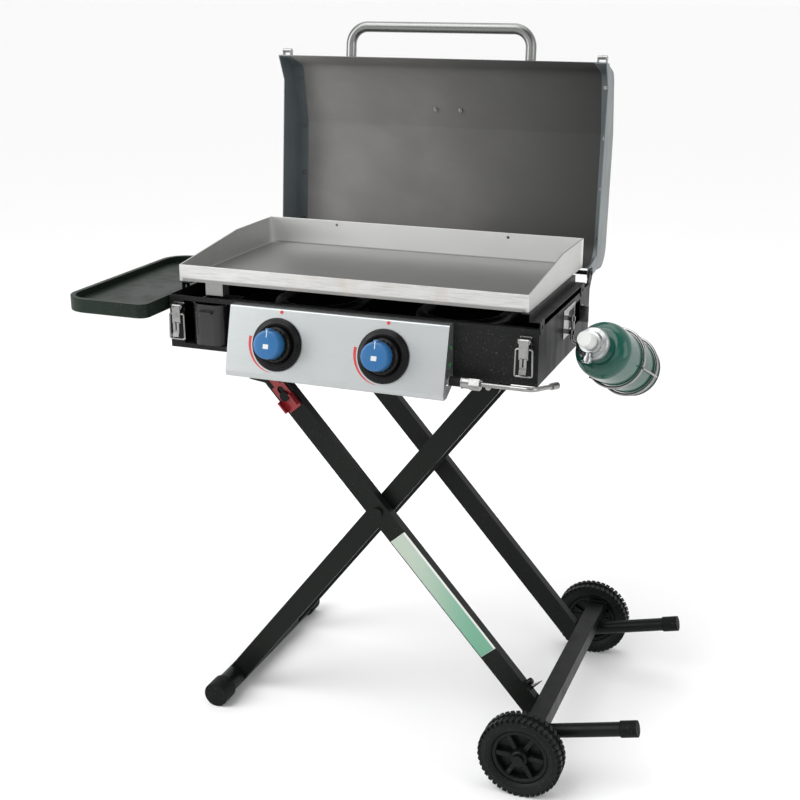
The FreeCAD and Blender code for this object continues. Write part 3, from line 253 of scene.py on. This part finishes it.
def brushed(name, color, rough, along, fine=0.35, depth=0.02, stain=0.15):
    look = drawnLook
    finish = Finish(name, color, rough, 1.0)
    pull, widePull = [1, 1, 1], [1, 1, 1]
    pull[along], widePull[along] = look["pull"], look["widePull"]
    grain = finish.noise(finish.coords(scale=pull), 1 / (fine * mm), 3.0, 0.7)
    wide = finish.noise(finish.coords(scale=widePull), look["wideScale"], 3.0)
    cloud = finish.span(finish.noise(finish.coords(), look["stainScale"], 5.0, 0.6), 0.35, 0.7)
    tone = finish.mix(grain, shade(color, 0.82), shade(color, 1.16))
    finish.feed("Base Color", finish.mix(cloud * stain, tone, shade(color, 0.62)))
    finish.feed("Roughness", rough - 0.09 + grain * 0.12 + wide * 0.08 + cloud * 0.05)
    finish.bump(grain, look["groove"], depth)
    return finish


# bright plate: slight waviness, fine scuffs and dull spots
plateLook = {"scuffScale": 900.0, "dullScale": 60.0, "waveScale": 240.0, "wave": 0.3, "waveDepth": 0.03}


def plated(name, color, rough):
    look = plateLook
    finish = Finish(name, color, rough, 1.0)
    space = finish.coords()
    scuff = finish.span(finish.noise(space, look["scuffScale"], 3.0), 0.5, 0.8)
    dull = finish.span(finish.noise(space, look["dullScale"], 4.0), 0.45, 0.7)
    finish.feed("Base Color", finish.mix(dull, shade(color, 1.08), shade(color, 0.8)))
    finish.feed("Roughness", rough + scuff * 0.12 + dull * 0.08)
    finish.bump(finish.noise(space, look["waveScale"], 2.0), look["wave"], look["waveDepth"])
    return finish


# finishes by the record's slots: colour and roughness, then grain and depth in millimetres

flat = {"Specular_IOR_Level": 0.14}  # most paints here are fairly dull

finishes = {
    "body_paint": coated("fireboxPaint", (0.0080, 0.0084, 0.0084), 0.42, **flat),
    "leg_paint": coated("legPaint", (0.0042, 0.0056, 0.0046), 0.38, grain=0.7, dust=0.1, **flat),
    "lid_end_paint": coated("lidEndPaint", (0.105, 0.124, 0.130), 0.34, tint=0.2),
    "panel_steel": brushed("panelSteel", (0.44, 0.46, 0.46), 0.40, 0, fine=0.25, stain=0.05),
    "handle_steel": brushed("handleSteel", (0.21, 0.215, 0.21), 0.24, 0, stain=0.1),
    "burner_steel": brushed("burnerSteel", (0.10, 0.10, 0.10), 0.42, 1, stain=0.7),
    "plated_steel": plated("nickelPlate", (0.28, 0.28, 0.275), 0.18),
    "valve_brass": plated("valveBrass", (0.42, 0.31, 0.13), 0.3),
    "manifold_aluminium": brushed("manifoldTube", (0.42, 0.42, 0.42), 0.35, 0),
    "regulator_zinc": plated("castZinc", (0.33, 0.34, 0.34), 0.26),
    "cap_plastic": coated("paleCap", (0.56, 0.58, 0.56), 0.4, tint=0.08, dust=0.1),
    "bezel_plastic": coated("bezelBlack", (0.0045, 0.0045, 0.005), 0.2, grain=0.5, depth=0.02, dust=0.05,
                            Specular_IOR_Level=0.15),
    "knob_plastic": coated("knobBlue", (0.012, 0.105, 0.27), 0.3, grain=0.4, depth=0.02, dust=0.04, tint=0.12),
    "lock_plastic": coated("lockRed", (0.26, 0.012, 0.016), 0.33, tint=0.2, dust=0.1),
    "cup_paint": coated("cupPaint", (0.009, 0.009, 0.009), 0.26, dust=0.1),
    "foot_rubber": coated("footRubber", (0.0022, 0.0036, 0.0028), 0.62, grain=0.5, depth=0.1, **flat),
    "hose_rubber": coated("hoseRubber", (0.007, 0.007, 0.007), 0.5, grain=0.5, **flat),
    "tyre_rubber": coated("tyreRubber", (0.0050, 0.0068, 0.0060), 0.5, grain=0.6, depth=0.1, tint=0.5, **flat),
    "rim_plastic": coated("rimPlastic", (0.0045, 0.0060, 0.0052), 0.32, grain=0.6, tint=0.3, **flat),
    "gas_paint": coated("gasEnamel", (0.0075, 0.070, 0.050), 0.13, grain=1.2, dust=0.05, tint=0.12,
                        Coat_Weight=0.25, Coat_Roughness=0.06, Specular_IOR_Level=0.3),
    "shelf_plastic": coated("shelfPlastic", (0.0085, 0.0150, 0.0105), 0.42, grain=1.1, depth=0.18, tint=0.25,
                            **flat),
}

# heat paint inside the lid, with painted light and shade: lighter towards its left end and darker towards its
# right, with wipe marks
lidLook = {"color": (0.110, 0.108, 0.106), "rough": 0.55, "paintedLightEnd": -0.36, "paintedShadeEnd": 0.33, "pale": 2.7,
           "paintedShade": 0.46, "wipeScale": 26.0, "wipeTurn": 0.25, "cloudScale": 4.5, "peelScale": 1100.0,
           "peelDepth": 0.07}


def lidInnerFinish():
    look = lidLook
    color = look["color"]
    finish = Finish("lidInside", color, look["rough"], **flat)
    space = finish.coords()
    wipes = finish.coords(scale=(5, 1, 1), turn=(0, look["wipeTurn"], 0))
    wipe = finish.noise(wipes, look["wipeScale"], 5.0, 0.6)
    cloud = finish.span(finish.noise(space, look["cloudScale"], 4.0), 0.3, 0.7)
    peel = finish.noise(space, look["peelScale"], 2.0)
    # painted light and shade: the same paint made lighter at the left end and darker at the right end
    side = finish.span(finish.xyz(space, 0), look["paintedLightEnd"], look["paintedShadeEnd"])
    tone = finish.mix(side, shade(color, look["pale"]), shade(color, look["paintedShade"]))
    finish.feed("Base Color", finish.mix(cloud * 0.35 + wipe * 0.2, tone, shade(color, 0.55)))
    finish.feed("Roughness", 0.46 + wipe * 0.14 + cloud * 0.06)
    finish.bump(peel, 0.5, look["peelDepth"])
    return finish


# cold-rolled plate: drawn grain, a darker floor, ground back corners, heat stains along the front, and a
# painted sheen that makes the back wall brighter
plateSteel = {
    "color": (0.63, 0.63, 0.62), "floorDarker": (0.215, 0.215, 0.212, 1), "ground": (0.8, 0.8, 0.8, 1),
    "backWallPaintedSheen": (0.8, 0.8, 0.79, 1), "stain": (0.46, 0.39, 0.31, 1), "rough": 0.34, "groove": 0.35,
    "depth": 0.03,
    "floorTop": (4.2, 7.5), "floorSide": (312, 317.5), "cornerSide": (296, 314), "cornerBack": (158, 176),
    "back": (166, 176), "front": (-176, -165),  # where each change starts and ends
}


def griddleFinish():
    look = plateSteel
    color = look["color"]
    finish = Finish("griddleSteel", color, look["rough"], 1.0)
    low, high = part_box("griddle_plate")
    centre = (low + high) / 2
    space = finish.coords(place=tuple(centre))

    def step(value, key, start=0.0, end=1.0, base=0.0):
        return finish.span(value, *(base + edge * mm for edge in look[key]), start, end)

    grain = finish.noise(finish.coords(scale=(70, 1, 1)), 2600.0, 3.0, 0.7)
    mottled = finish.noise(finish.coords(scale=(2.2, 1, 1)), 24.0, 6.0, 0.65)
    streak = finish.noise(finish.coords(scale=(18, 1, 1)), 520.0, 4.0, 0.65)
    ground = finish.noise(finish.coords(scale=(1, 1, 14)), 700.0, 2.0)
    heat = finish.span(finish.noise(finish.coords(scale=(1, 1, 3)), 13.0, 4.0), 0.52, 0.72)
    across = finish.xyz(space, 0).math("ABSOLUTE")
    deep = finish.xyz(space, 1)
    floor = step(finish.xyz(space, 2), "floorTop", 1, 0, base=low.z - centre.z)
    inside = step(across, "floorSide", 1, 0)
    corner = step(across, "cornerSide") * step(deep, "cornerBack")
    front = step(deep, "front", 1, 0)
    tone = finish.mix(grain, shade(color, 0.84), shade(color, 1.14))
    tone = finish.mix(mottled * 0.3, tone, shade(color, 0.66))
    # the floor inside the walls is made darker than the rest of the plate
    tone = finish.mix(floor * inside * 0.9, tone, look["floorDarker"])
    tone = finish.mix(finish.span(streak, 0.42, 0.72) * 0.34, tone, shade(color, 0.42))
    tone = finish.mix(front * heat * 0.5, tone, look["stain"])
    tone = finish.mix(corner * (0.5 + ground * 0.5) * 0.8, tone, look["ground"])
    # painted sheen: the back wall is painted brighter than the rest of the same steel
    finish.feed("Base Color", finish.mix(step(deep, "back") * (1 - floor), tone, look["backWallPaintedSheen"]))
    finish.feed("Roughness", 0.25 + grain * 0.12 + mottled * 0.1 + streak * 0.12 + floor * 0.05)
    finish.bump(grain, look["groove"], look["depth"])
    return finish


finishes["lid_inner_paint"] = lidInnerFinish()
finishes["griddle_steel"] = griddleFinish()

for name, obj in nodes.items():
    obj.data.materials.clear()
    obj.data.materials.append(finishes[slotOf[name]].mat)
print("finishes ready:", len(finishes))


# mesh helpers: their sizes are in millimetres

smoothBelow = math.radians(35)  # faces that meet at less than this shade as one


def bodyOf(node):
    return nodes[node]["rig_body"]


def finishPiece(bm, name, finish, body, replaces=()):  # turns normals out and hangs it on its body
    bmesh.ops.recalc_face_normals(bm, faces=bm.faces)
    mesh = bpy.data.meshes.new(name)
    bm.to_mesh(mesh)
    bm.free()
    for face in mesh.polygons:
        face.use_smooth = True
    mesh.set_sharp_from_angle(angle=smoothBelow)
    piece = bpy.data.objects.new(name, mesh)
    piece.data.materials.append(finish.mat)
    bpy.context.scene.collection.objects.link(piece)
    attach(piece, body)
    if replaces:
        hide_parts(*replaces)
    return piece


def move(x, y, z):
    return Matrix.Translation(Vector((x, y, z)) * mm)


def turnedBy(angle, axis):
    return Matrix.Rotation(angle, 4, axis)


def toolFrame(origin, direction):  # carries +Z to a direction at an origin
    turn = Vector(direction).to_track_quat("Z", "Y").to_matrix().to_4x4()
    return Matrix.Translation(origin) @ turn


def spun(bm, outline, steps, matrix):  # turns a closed outline of (radius, height) about the matrix's Z axis
    older = set(bm.verts)
    verts = [bm.verts.new((radius * mm, 0, height * mm)) for radius, height in outline]
    rims = [bm.edges.new(pair) for pair in zip(verts, verts[1:] + verts[:1])]
    bmesh.ops.spin(bm, geom=verts + rims, cent=(0, 0, 0), axis=(0, 0, 1), angle=math.tau, steps=steps,
                   use_merge=True)
    bmesh.ops.remove_doubles(bm, verts=[vert for vert in bm.verts if vert not in older], dist=1e-6)
    bmesh.ops.transform(bm, matrix=matrix, verts=[vert for vert in bm.verts if vert not in older])


def mirrored(outline):  # an outline's lower half with its upper half added
    return outline + [(radius, -height) for radius, height in reversed(outline)]


def rounded(bm, rims, width, segments=2):
    bmesh.ops.bevel(bm, geom=rims, offset=width * mm, affect="EDGES", segments=segments, profile=0.5,
                    material=-1, clamp_overlap=True)


def block(bm, size, matrix, soft, segments=2):  # a box with softened edges
    shape = Matrix.Diagonal((*(side * mm for side in size), 1))
    made = bmesh.ops.create_cube(bm, size=1.0, matrix=matrix @ shape)
    rounded(bm, list({edge for vert in made["verts"] for edge in vert.link_edges}), soft, segments)


# wheels: block tread round a spoked rim

tyre = {
    "bead": 50, "deep": 3.0, "wall": [(0, 6), (3, 3), (7, 1.2), (10, 0.4), (12, 1.2)],
    "shoulder": [(3, 2), (1.2, 6), (0, 10)], "groove": [(0, -3.5), (2.2, -2.5)], "steps": 88,
    "lugs": 44, "lug": (5.2, 7.5, 12.5), "lugRow": 10.5, "lugProud": 0.3, "lugTilt": math.radians(18),
    "lugSoft": 0.7, "tooth": (6.2, 5.2, 6.8), "toothIn": 5.2, "toothDown": 2.2, "toothTilt": 0.5,
    "toothSoft": 0.6,
}
rim = {
    "hub": 15, "bore": 6.2, "flange": [(8, 9), (6.5, 7.5), (1.5, 7.5), (0, 9)], "flangeRoot": (9, -6),
    "web": (-3, -1), "webOut": 8.5, "spokes": 6, "spoke": (8.5, 16), "spokeUp": 3, "spokeSoft": 1.6,
    "rib": (3, 8), "ribUp": -6, "ribSoft": 0.8, "steps": 72, "hubSteps": 48, "webSteps": 60,
}


def makeTyre(turn, half, radius, tyreNode):
    base = radius - tyre["deep"]
    outline = [(tyre["bead"] + up, -half + into) for up, into in tyre["wall"]]
    outline += [(base - down, -half + into) for down, into in tyre["shoulder"]]
    outline += [(base - down, height) for down, height in tyre["groove"]]
    bm = bmesh.new()
    spun(bm, mirrored(outline), tyre["steps"], turn)
    for n in range(tyre["lugs"]):
        for side, ahead in ((-1, 0), (1, 0.5)):
            spin = turnedBy(math.tau * (n + ahead) / tyre["lugs"], "Z")
            place = move(base + tyre["lugProud"], 0, side * tyre["lugRow"])
            tilt = turnedBy(-side * tyre["lugTilt"], "X")
            block(bm, tyre["lug"], turn @ spin @ place @ tilt, tyre["lugSoft"], 1)
        for side, ahead in ((-1, 0), (1, 0.5)):
            spin = turnedBy(math.tau * (n + ahead) / tyre["lugs"], "Z")
            place = move(base - tyre["toothDown"], 0, side * (half - tyre["toothIn"]))
            tilt = turnedBy(-side * tyre["toothTilt"], "Y")
            block(bm, tyre["tooth"], turn @ spin @ place @ tilt, tyre["toothSoft"], 1)
    finishPiece(bm, tyreNode + "_tread", finishes["tyre_rubber"], bodyOf(tyreNode),
                replaces=(tyreNode,))


def makeRim(turn, half, rimNode):
    bead, hub, bore = tyre["bead"], rim["hub"], rim["bore"]
    rootIn, rootHeight = rim["flangeRoot"]
    outline = [(bead - rootIn, rootHeight)] + [(bead - down, -half + into) for down, into in rim["flange"]]
    bm = bmesh.new()
    spun(bm, mirrored(outline), rim["steps"], turn)
    spun(bm, [(bore, -half), (hub - 1.5, -half), (hub, -half + 1.5), (hub + 1.2, half - 6),
              (hub - 0.8, half - 1), (hub - 2, half), (bore, half)], rim["hubSteps"], turn)
    webLow, webHigh = rim["web"]
    webIn, webOut = hub - 1, bead - rim["webOut"]
    spun(bm, [(webIn, webLow), (webOut, webLow), (webOut, webHigh), (webIn, webHigh)], rim["webSteps"], turn)
    long, reach = bead - 7 - hub, (hub + bead - 8) / 2
    for n in range(rim["spokes"]):
        angle = math.tau * n / rim["spokes"]
        spoke = turnedBy(angle, "Z") @ move(reach, 0, rim["spokeUp"])
        block(bm, (long, *rim["spoke"]), turn @ spoke, rim["spokeSoft"], 3)
        rib = turnedBy(angle + math.pi / rim["spokes"], "Z") @ move(reach, 0, rim["ribUp"])
        block(bm, (long, *rim["rib"]), turn @ rib, rim["ribSoft"])
    finishPiece(bm, rimNode + "_spoked", finishes["rim_plastic"], bodyOf(rimNode),
                replaces=(rimNode,))


for side, tyreNode, rimNode in ((-1, "front_tyre", "front_wheel_rim"), (1, "rear_tyre", "rear_wheel_rim")):
    low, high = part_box(tyreNode)
    turn = toolFrame((low + high) / 2, (0, side, 0))
    half, radius = (high.y - low.y) / 2 / mm, (high.z - low.z) / 2 / mm
    makeTyre(turn, half, radius, tyreNode)
    makeRim(turn, half, rimNode)
print("wheels made")

# knobs on the sloping panel: X to the right, Y up the panel and Z out of it

panelTilt = math.radians(14.64)
faceUp = Vector((0, math.sin(panelTilt), math.cos(panelTilt)))
faceOut = Vector((0, -math.cos(panelTilt), math.sin(panelTilt)))
seats = {"left": at(-111, -211.42, 738), "right": at(85, -211.42, 738)}
knob = {"skirt": 31.0, "cap": 24.5, "length": 44.0, "socket": 4.5, "steps": 96, "grips": 20,
        "grip": (3.0, 3.4, 7.0), "gripUp": 18.6, "pointer": (7.8, 15.0, 16.8), "pointerUp": 35.0,
        "line": (1.6, 13.0, 0.6), "patch": (10.0, 7.8, 0.6), "patchDown": 3.0, "markSoft": 0.2}


def onFace(seat):
    basis = Matrix((Vector((1, 0, 0)), faceUp, faceOut)).transposed().to_4x4()
    return Matrix.Translation(seat) @ basis


def makeKnob(side):
    seat, node = onFace(seats[side]), side + "_knob"
    skirt, cap, top, socket = (knob[key] for key in ("skirt", "cap", "length", "socket"))
    bm = bmesh.new()
    spun(bm, [(socket, 6.5), (skirt - 1, 6.5), (skirt, 7.5), (skirt - 0.8, 11.5), (skirt - 2.2, 12.5),
              (cap + 3.5, 13.5), (cap + 2.2, 15.0), (cap + 1.6, 22.5), (cap - 1, 23.5), (socket, 23.5)],
         knob["steps"], seat)
    for n in range(knob["grips"]):
        spin = turnedBy(math.tau * (n + 0.5) / knob["grips"], "Z") @ move(cap + 1.9, 0, knob["gripUp"])
        block(bm, knob["grip"], seat @ spin, 0.7)
    finishPiece(bm, node + "_skirt", finishes["bezel_plastic"], bodyOf(node), replaces=(node,))
    bm = bmesh.new()
    spun(bm, [(socket, 23.8), (cap + 0.2, 23.8), (cap + 0.5, 24.6), (cap - 0.2, 40.0), (cap - 0.8, top - 1.2),
              (cap - 2.2, top - 0.3), (cap - 4.2, top), (0, top), (0, 34.0), (socket, 34.0)],
         knob["steps"], seat)
    block(bm, knob["pointer"], seat @ move(0, cap - 4.5, knob["pointerUp"]), 1.4, 3)
    finishPiece(bm, node + "_cap", finishes["knob_plastic"], bodyOf(node), replaces=(node,))
    bm = bmesh.new()  # the pointer's line and a plain patch, sunk so that only their faces show
    block(bm, knob["line"], seat @ move(0, cap - 5.5, top - 0.2), knob["markSoft"], 1)
    block(bm, knob["patch"], seat @ move(0, -knob["patchDown"], top - 0.1), knob["markSoft"], 1)
    finishPiece(bm, node + "_mark", finishes["cap_plastic"], bodyOf(node))


for side in seats:
    makeKnob(side)

# a dot above each knob and a band that widens from low heat to high

marks = {"from": 168, "sweep": 92, "inner": 49.5, "outer": 54.5, "least": 0.4, "taper": 0.8, "lift": 0.15,
         "steps": 26, "dot": 3.2, "dotRight": 4, "dotUp": 56.0}
redInk = coated("redInk", (0.5, 0.03, 0.035), 0.4, tint=0.1, dust=0.0)


def makeMarks():
    bm = bmesh.new()
    inner, outer, least, lift, dot = (marks[key] * mm for key in ("inner", "outer", "least", "lift", "dot"))
    sweep = math.radians(marks["sweep"])
    for seat in seats.values():
        place = onFace(seat)
        spot = place @ move(marks["dotRight"], marks["dotUp"], marks["lift"] / 2)
        bmesh.ops.create_cone(bm, cap_ends=True, segments=24, radius1=dot, radius2=dot, depth=lift, matrix=spot)
        older = set(bm.verts)
        corners = [bm.verts.new((r, 0, h)) for r, h in ((inner, 0), (outer, 0), (outer, lift), (inner, lift))]
        rims = [bm.edges.new(pair) for pair in zip(corners, corners[1:] + corners[:1])]
        bmesh.ops.spin(bm, geom=corners + rims, cent=(0, 0, 0), axis=(0, 0, 1), angle=sweep,
                       steps=marks["steps"])
        strip = [vert for vert in bm.verts if vert not in older]
        ends = [edge for edge in {e for vert in strip for e in vert.link_edges} if edge.is_boundary]
        bmesh.ops.holes_fill(bm, edges=ends, sides=4)
        for vert in strip:
            if vert.co.xy.length > (inner + outer) / 2:
                left = max(1 - math.atan2(vert.co.y, vert.co.x) / sweep, 0)
                wide = inner + (outer - inner) * left ** marks["taper"] + least
                vert.co.xy = vert.co.xy * (wide / vert.co.xy.length)
        bmesh.ops.transform(bm, verts=strip, matrix=place @ turnedBy(math.radians(marks["from"]), "Z"))
    finishPiece(bm, "heat_marks", redInk, "base")


makeMarks()

# stepped rings round the knobs

bezel = {"outer": 46.0, "bore": 11.5, "back": 0.2, "seat": 3.0, "steps": 112}


def makeBezels():
    bm = bmesh.new()
    outer, bore, inner = bezel["outer"], bezel["bore"], knob["skirt"]
    for seat in seats.values():
        spun(bm, [(bore, bezel["back"]), (outer, bezel["back"]), (outer, 2.4), (outer - 1.2, 3.6),
                  (outer - 4.8, 4.4), (outer - 5.6, 5.8), (outer - 7.5, 6.6), (outer - 10.5, 7.0),
                  (inner + 3.2, 7.0), (inner + 1.8, 6.2), (inner + 1.6, bezel["seat"]), (bore, bezel["seat"])],
             bezel["steps"], onFace(seat))
    finishPiece(bm, "knob_bezels_stepped", finishes["bezel_plastic"], "base",
                replaces=("knob_bezels",))


makeBezels()
print("knobs made")

# formed sheet, legs and hardware: how far each one's edges are rounded

rounding = {
    "control_panel": 0.5, "firebox_shell": 0.5, "right_plate_rail": 0.4, "left_plate_rail": 0.4,
    "latch_bases": 0.4, "left_latch_lever": 0.4, "right_latch_lever": 0.4, "grease_chute": 0.4,
    "grease_cup": 0.7, "side_shelf": 1.4, "front_foot_leg": 1.0, "rear_foot_leg": 1.0, "front_wheel_leg": 1.0,
    "rear_wheel_leg": 1.0, "axle_beam": 1.0, "wheel_axles": 0.7, "hook_brackets": 0.5, "pivot_brackets": 0.5,
    "shelf_brackets": 0.5, "cradle_bracket": 0.4, "lock_slider": 0.9, "lid_keepers": 0.6, "griddle_plate": 0.7,
    "lid_shell": 0.4, "right_lid_end": 0.4, "left_lid_end": 0.4, "foot_caps": 2.0, "stand_caps": 1.2,
    "inlet_nut": 0.5, "crossing_bolts": 0.8, "hook_pins": 0.8, "lock_boss": 0.7,
}
sharpAbove, flatBelow = math.radians(25), math.radians(0.6)
flatWeight = 80  # keeps broad flat sheet looking flat


def softened(node, width):  # stands in for a CAD node, with its sharp edges rounded over
    bm = bmesh.new()
    bm.from_mesh(nodes[node].data)
    bmesh.ops.remove_doubles(bm, verts=bm.verts, dist=2e-6)
    bmesh.ops.dissolve_limit(bm, angle_limit=flatBelow, verts=bm.verts, edges=bm.edges)
    sharp = [e for e in bm.edges if len(e.link_faces) == 2 and e.calc_face_angle(0) > sharpAbove]
    rounded(bm, sharp, width)
    slot = slotOf[node]
    piece = finishPiece(bm, node + "_formed", finishes[slot], bodyOf(node), replaces=(node,))
    flats = piece.modifiers.new("flats", "WEIGHTED_NORMAL")
    flats.keep_sharp, flats.weight = True, flatWeight


for node, width in rounding.items():
    softened(node, width)
print("edges rounded:", len(rounding))

# a plain sticker on the front wheel leg, pale at its top and greener below

label = {"middle": (176, 291), "lean": 48.63, "long": 262, "wide": 35.0, "thick": 0.3, "soft": 0.1,
         "fieldLong": 261, "fieldWide": 31.0, "fieldProud": 0.8, "fade": (-75, 70),
         "pale": (0.37, 0.44, 0.37, 1), "green": (0.125, 0.32, 0.215, 1)}
paper = {"grain": 2, "depth": 0.01, "dust": 0.05}
labelPaper = coated("labelPaper", (0.62, 0.63, 0.60), 0.35, tint=0.08, **paper)
labelField = coated("labelField", (0.2, 0.34, 0.25), 0.35, tint=0.15, **paper)
legLean = math.radians(label["lean"])


def makeLabel():
    x, z = label["middle"]
    fadeFrom, fadeTo = (at(x + along, 0, 0).x for along in label["fade"])
    fade = labelField.span(labelField.xyz(labelField.coords(), 0), fadeFrom, fadeTo)
    labelField.feed("Base Color", labelField.mix(fade, label["pale"], label["green"]))
    face = at(x, 0, z)
    face.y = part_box("front_wheel_leg")[0].y
    place = Matrix.Translation(face) @ turnedBy(legLean, "Y")
    wide, thick, fieldWide = label["wide"], label["thick"], label["fieldWide"]
    bm = bmesh.new()
    block(bm, (label["long"], thick, wide), place @ move(0, -thick / 2, 0), label["soft"], 1)
    finishPiece(bm, "leg_label", labelPaper, "wheel_frame")
    bm = bmesh.new()
    block(bm, (label["fieldLong"], thick, fieldWide),
          place @ move(0, -thick * label["fieldProud"], (fieldWide - wide) / 2), label["soft"], 1)
    finishPiece(bm, "leg_label_field", labelField, "wheel_frame")


makeLabel()

# the spring button on the same leg, and its thumb tab

button = {"place": (332.4, -148, 140.1), "sunk": 2, "radius": 6.0, "tall": 15.0, "steps": 36}
tab = {"place": (340, -141.5, 131), "sunk": 1, "wide": 16, "thin": 3.4, "high": 26, "foot": 0.7, "tip": 0.12,
       "soft": 0.4}


def makeSpringButton():
    out = Vector((math.sin(legLean), 0, math.cos(legLean)))
    radius, tall = button["radius"], button["tall"]
    bm = bmesh.new()
    spun(bm, [(0, 0), (radius + 1.5, 0), (radius + 1.5, 3.5), (radius, 4.2), (radius, tall - 2),
              (radius - 0.6, tall - 0.8), (radius - 2, tall), (0, tall)], button["steps"],
         toolFrame(at(*button["place"]) - out * button["sunk"] * mm, out))
    wide, high = tab["wide"] * mm, tab["high"] * mm
    made = bmesh.ops.create_cone(bm, cap_ends=True, segments=4, radius1=wide * tab["foot"],
                                 radius2=wide * tab["tip"], depth=high)["verts"]
    bmesh.ops.rotate(bm, verts=made, matrix=Matrix.Rotation(math.radians(45), 3, "Z"))
    bmesh.ops.scale(bm, verts=made, vec=(1, tab["thin"] / tab["wide"], 1))
    bmesh.ops.translate(bm, verts=made, vec=(0, 0, high / 2))
    bmesh.ops.transform(bm, verts=made, matrix=toolFrame(at(*tab["place"]) - out * tab["sunk"] * mm, out))
    rounded(bm, list({edge for vert in made for edge in vert.link_edges}), tab["soft"])
    finishPiece(bm, "spring_button", finishes["bezel_plastic"], "wheel_frame")


makeSpringButton()

# two plain green stickers on the panel's right fold

spots = {"radius": 3.2, "thick": 0.25, "stretch": (1.5, 0.8), "steps": 28, "seats": ((-188, 759), (-192, 730))}


def makeSpots():
    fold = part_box("control_panel")[1].x
    radius, thick = spots["radius"], spots["thick"]
    bm = bmesh.new()
    for y, z in spots["seats"]:
        place = at(0, y, z)
        place.x = fold
        oval = toolFrame(place, (1, 0, 0)) @ Matrix.Diagonal((*spots["stretch"], 1, 1))
        spun(bm, [(0, 0), (radius, 0), (radius, thick), (0, thick)], spots["steps"], oval)
    green = coated("spotGreen", (0.01, 0.36, 0.07), 0.4, tint=0.1, dust=0.0)
    finishPiece(bm, "panel_spots", green, "base")


makeSpots()

# the dark rolled seam round the bottom of the gas cylinder

tank = {"shoulder": (420, -60, 743), "axis": (0.176, 0.88, -0.44), "radius": 49.0, "seam": 150.0,
        "proud": 0.4, "steps": 96}


def makeTankSeam():
    radius, seam, proud = tank["radius"], tank["seam"], tank["proud"]
    bm = bmesh.new()
    spun(bm, [(radius - 0.8, seam), (radius + proud * 0.6, seam + 0.3), (radius + proud, seam + 1.2),
              (radius + proud, seam + 4.8), (radius + proud * 0.6, seam + 5.7), (radius - 0.8, seam + 6)],
         tank["steps"], toolFrame(at(*tank["shoulder"]), tank["axis"]))
    finishPiece(bm, "tank_seam", finishes["bezel_plastic"], "cylinder")


makeTankSeam()

# rows of small dark discs along the straight runs of both burners: painted shade where the flame port holes are

port = {"radius": 1.3, "narrow": 0.8, "thick": 0.5, "lift": 0.1, "gap": 13.0, "tube": 11, "front": 75,
        "back": 60}


def makePorts():
    radius, thick, gap, tube = (port[key] * mm for key in ("radius", "thick", "gap", "tube"))
    bm = bmesh.new()
    for node in ("left_burner", "right_burner"):
        low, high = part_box(node)
        for x in (low.x + tube, high.x - tube):
            y = low.y + port["front"] * mm
            while y < high.y - port["back"] * mm:
                place = Matrix.Translation((x, y, high.z + port["lift"] * mm))
                bmesh.ops.create_cone(bm, cap_ends=True, segments=8, radius1=radius,
                                      radius2=radius * port["narrow"], depth=thick, matrix=place)
                y += gap
    finishPiece(bm, "burner_port_shade_discs", finishes["hose_rubber"], "base")


makePorts()
print("small parts made")

# floor

bm = bmesh.new()
bmesh.ops.create_grid(bm, x_segments=2, y_segments=2, size=60)
mesh = bpy.data.meshes.new("floor")
bm.to_mesh(mesh)
bm.free()
floor = bpy.data.objects.new("floor", mesh)
floor.data.materials.append(Finish("paleFloor", (0.9, 0.9, 0.9), 0.9).mat)
bpy.context.scene.collection.objects.link(floor)

print("all pieces made")
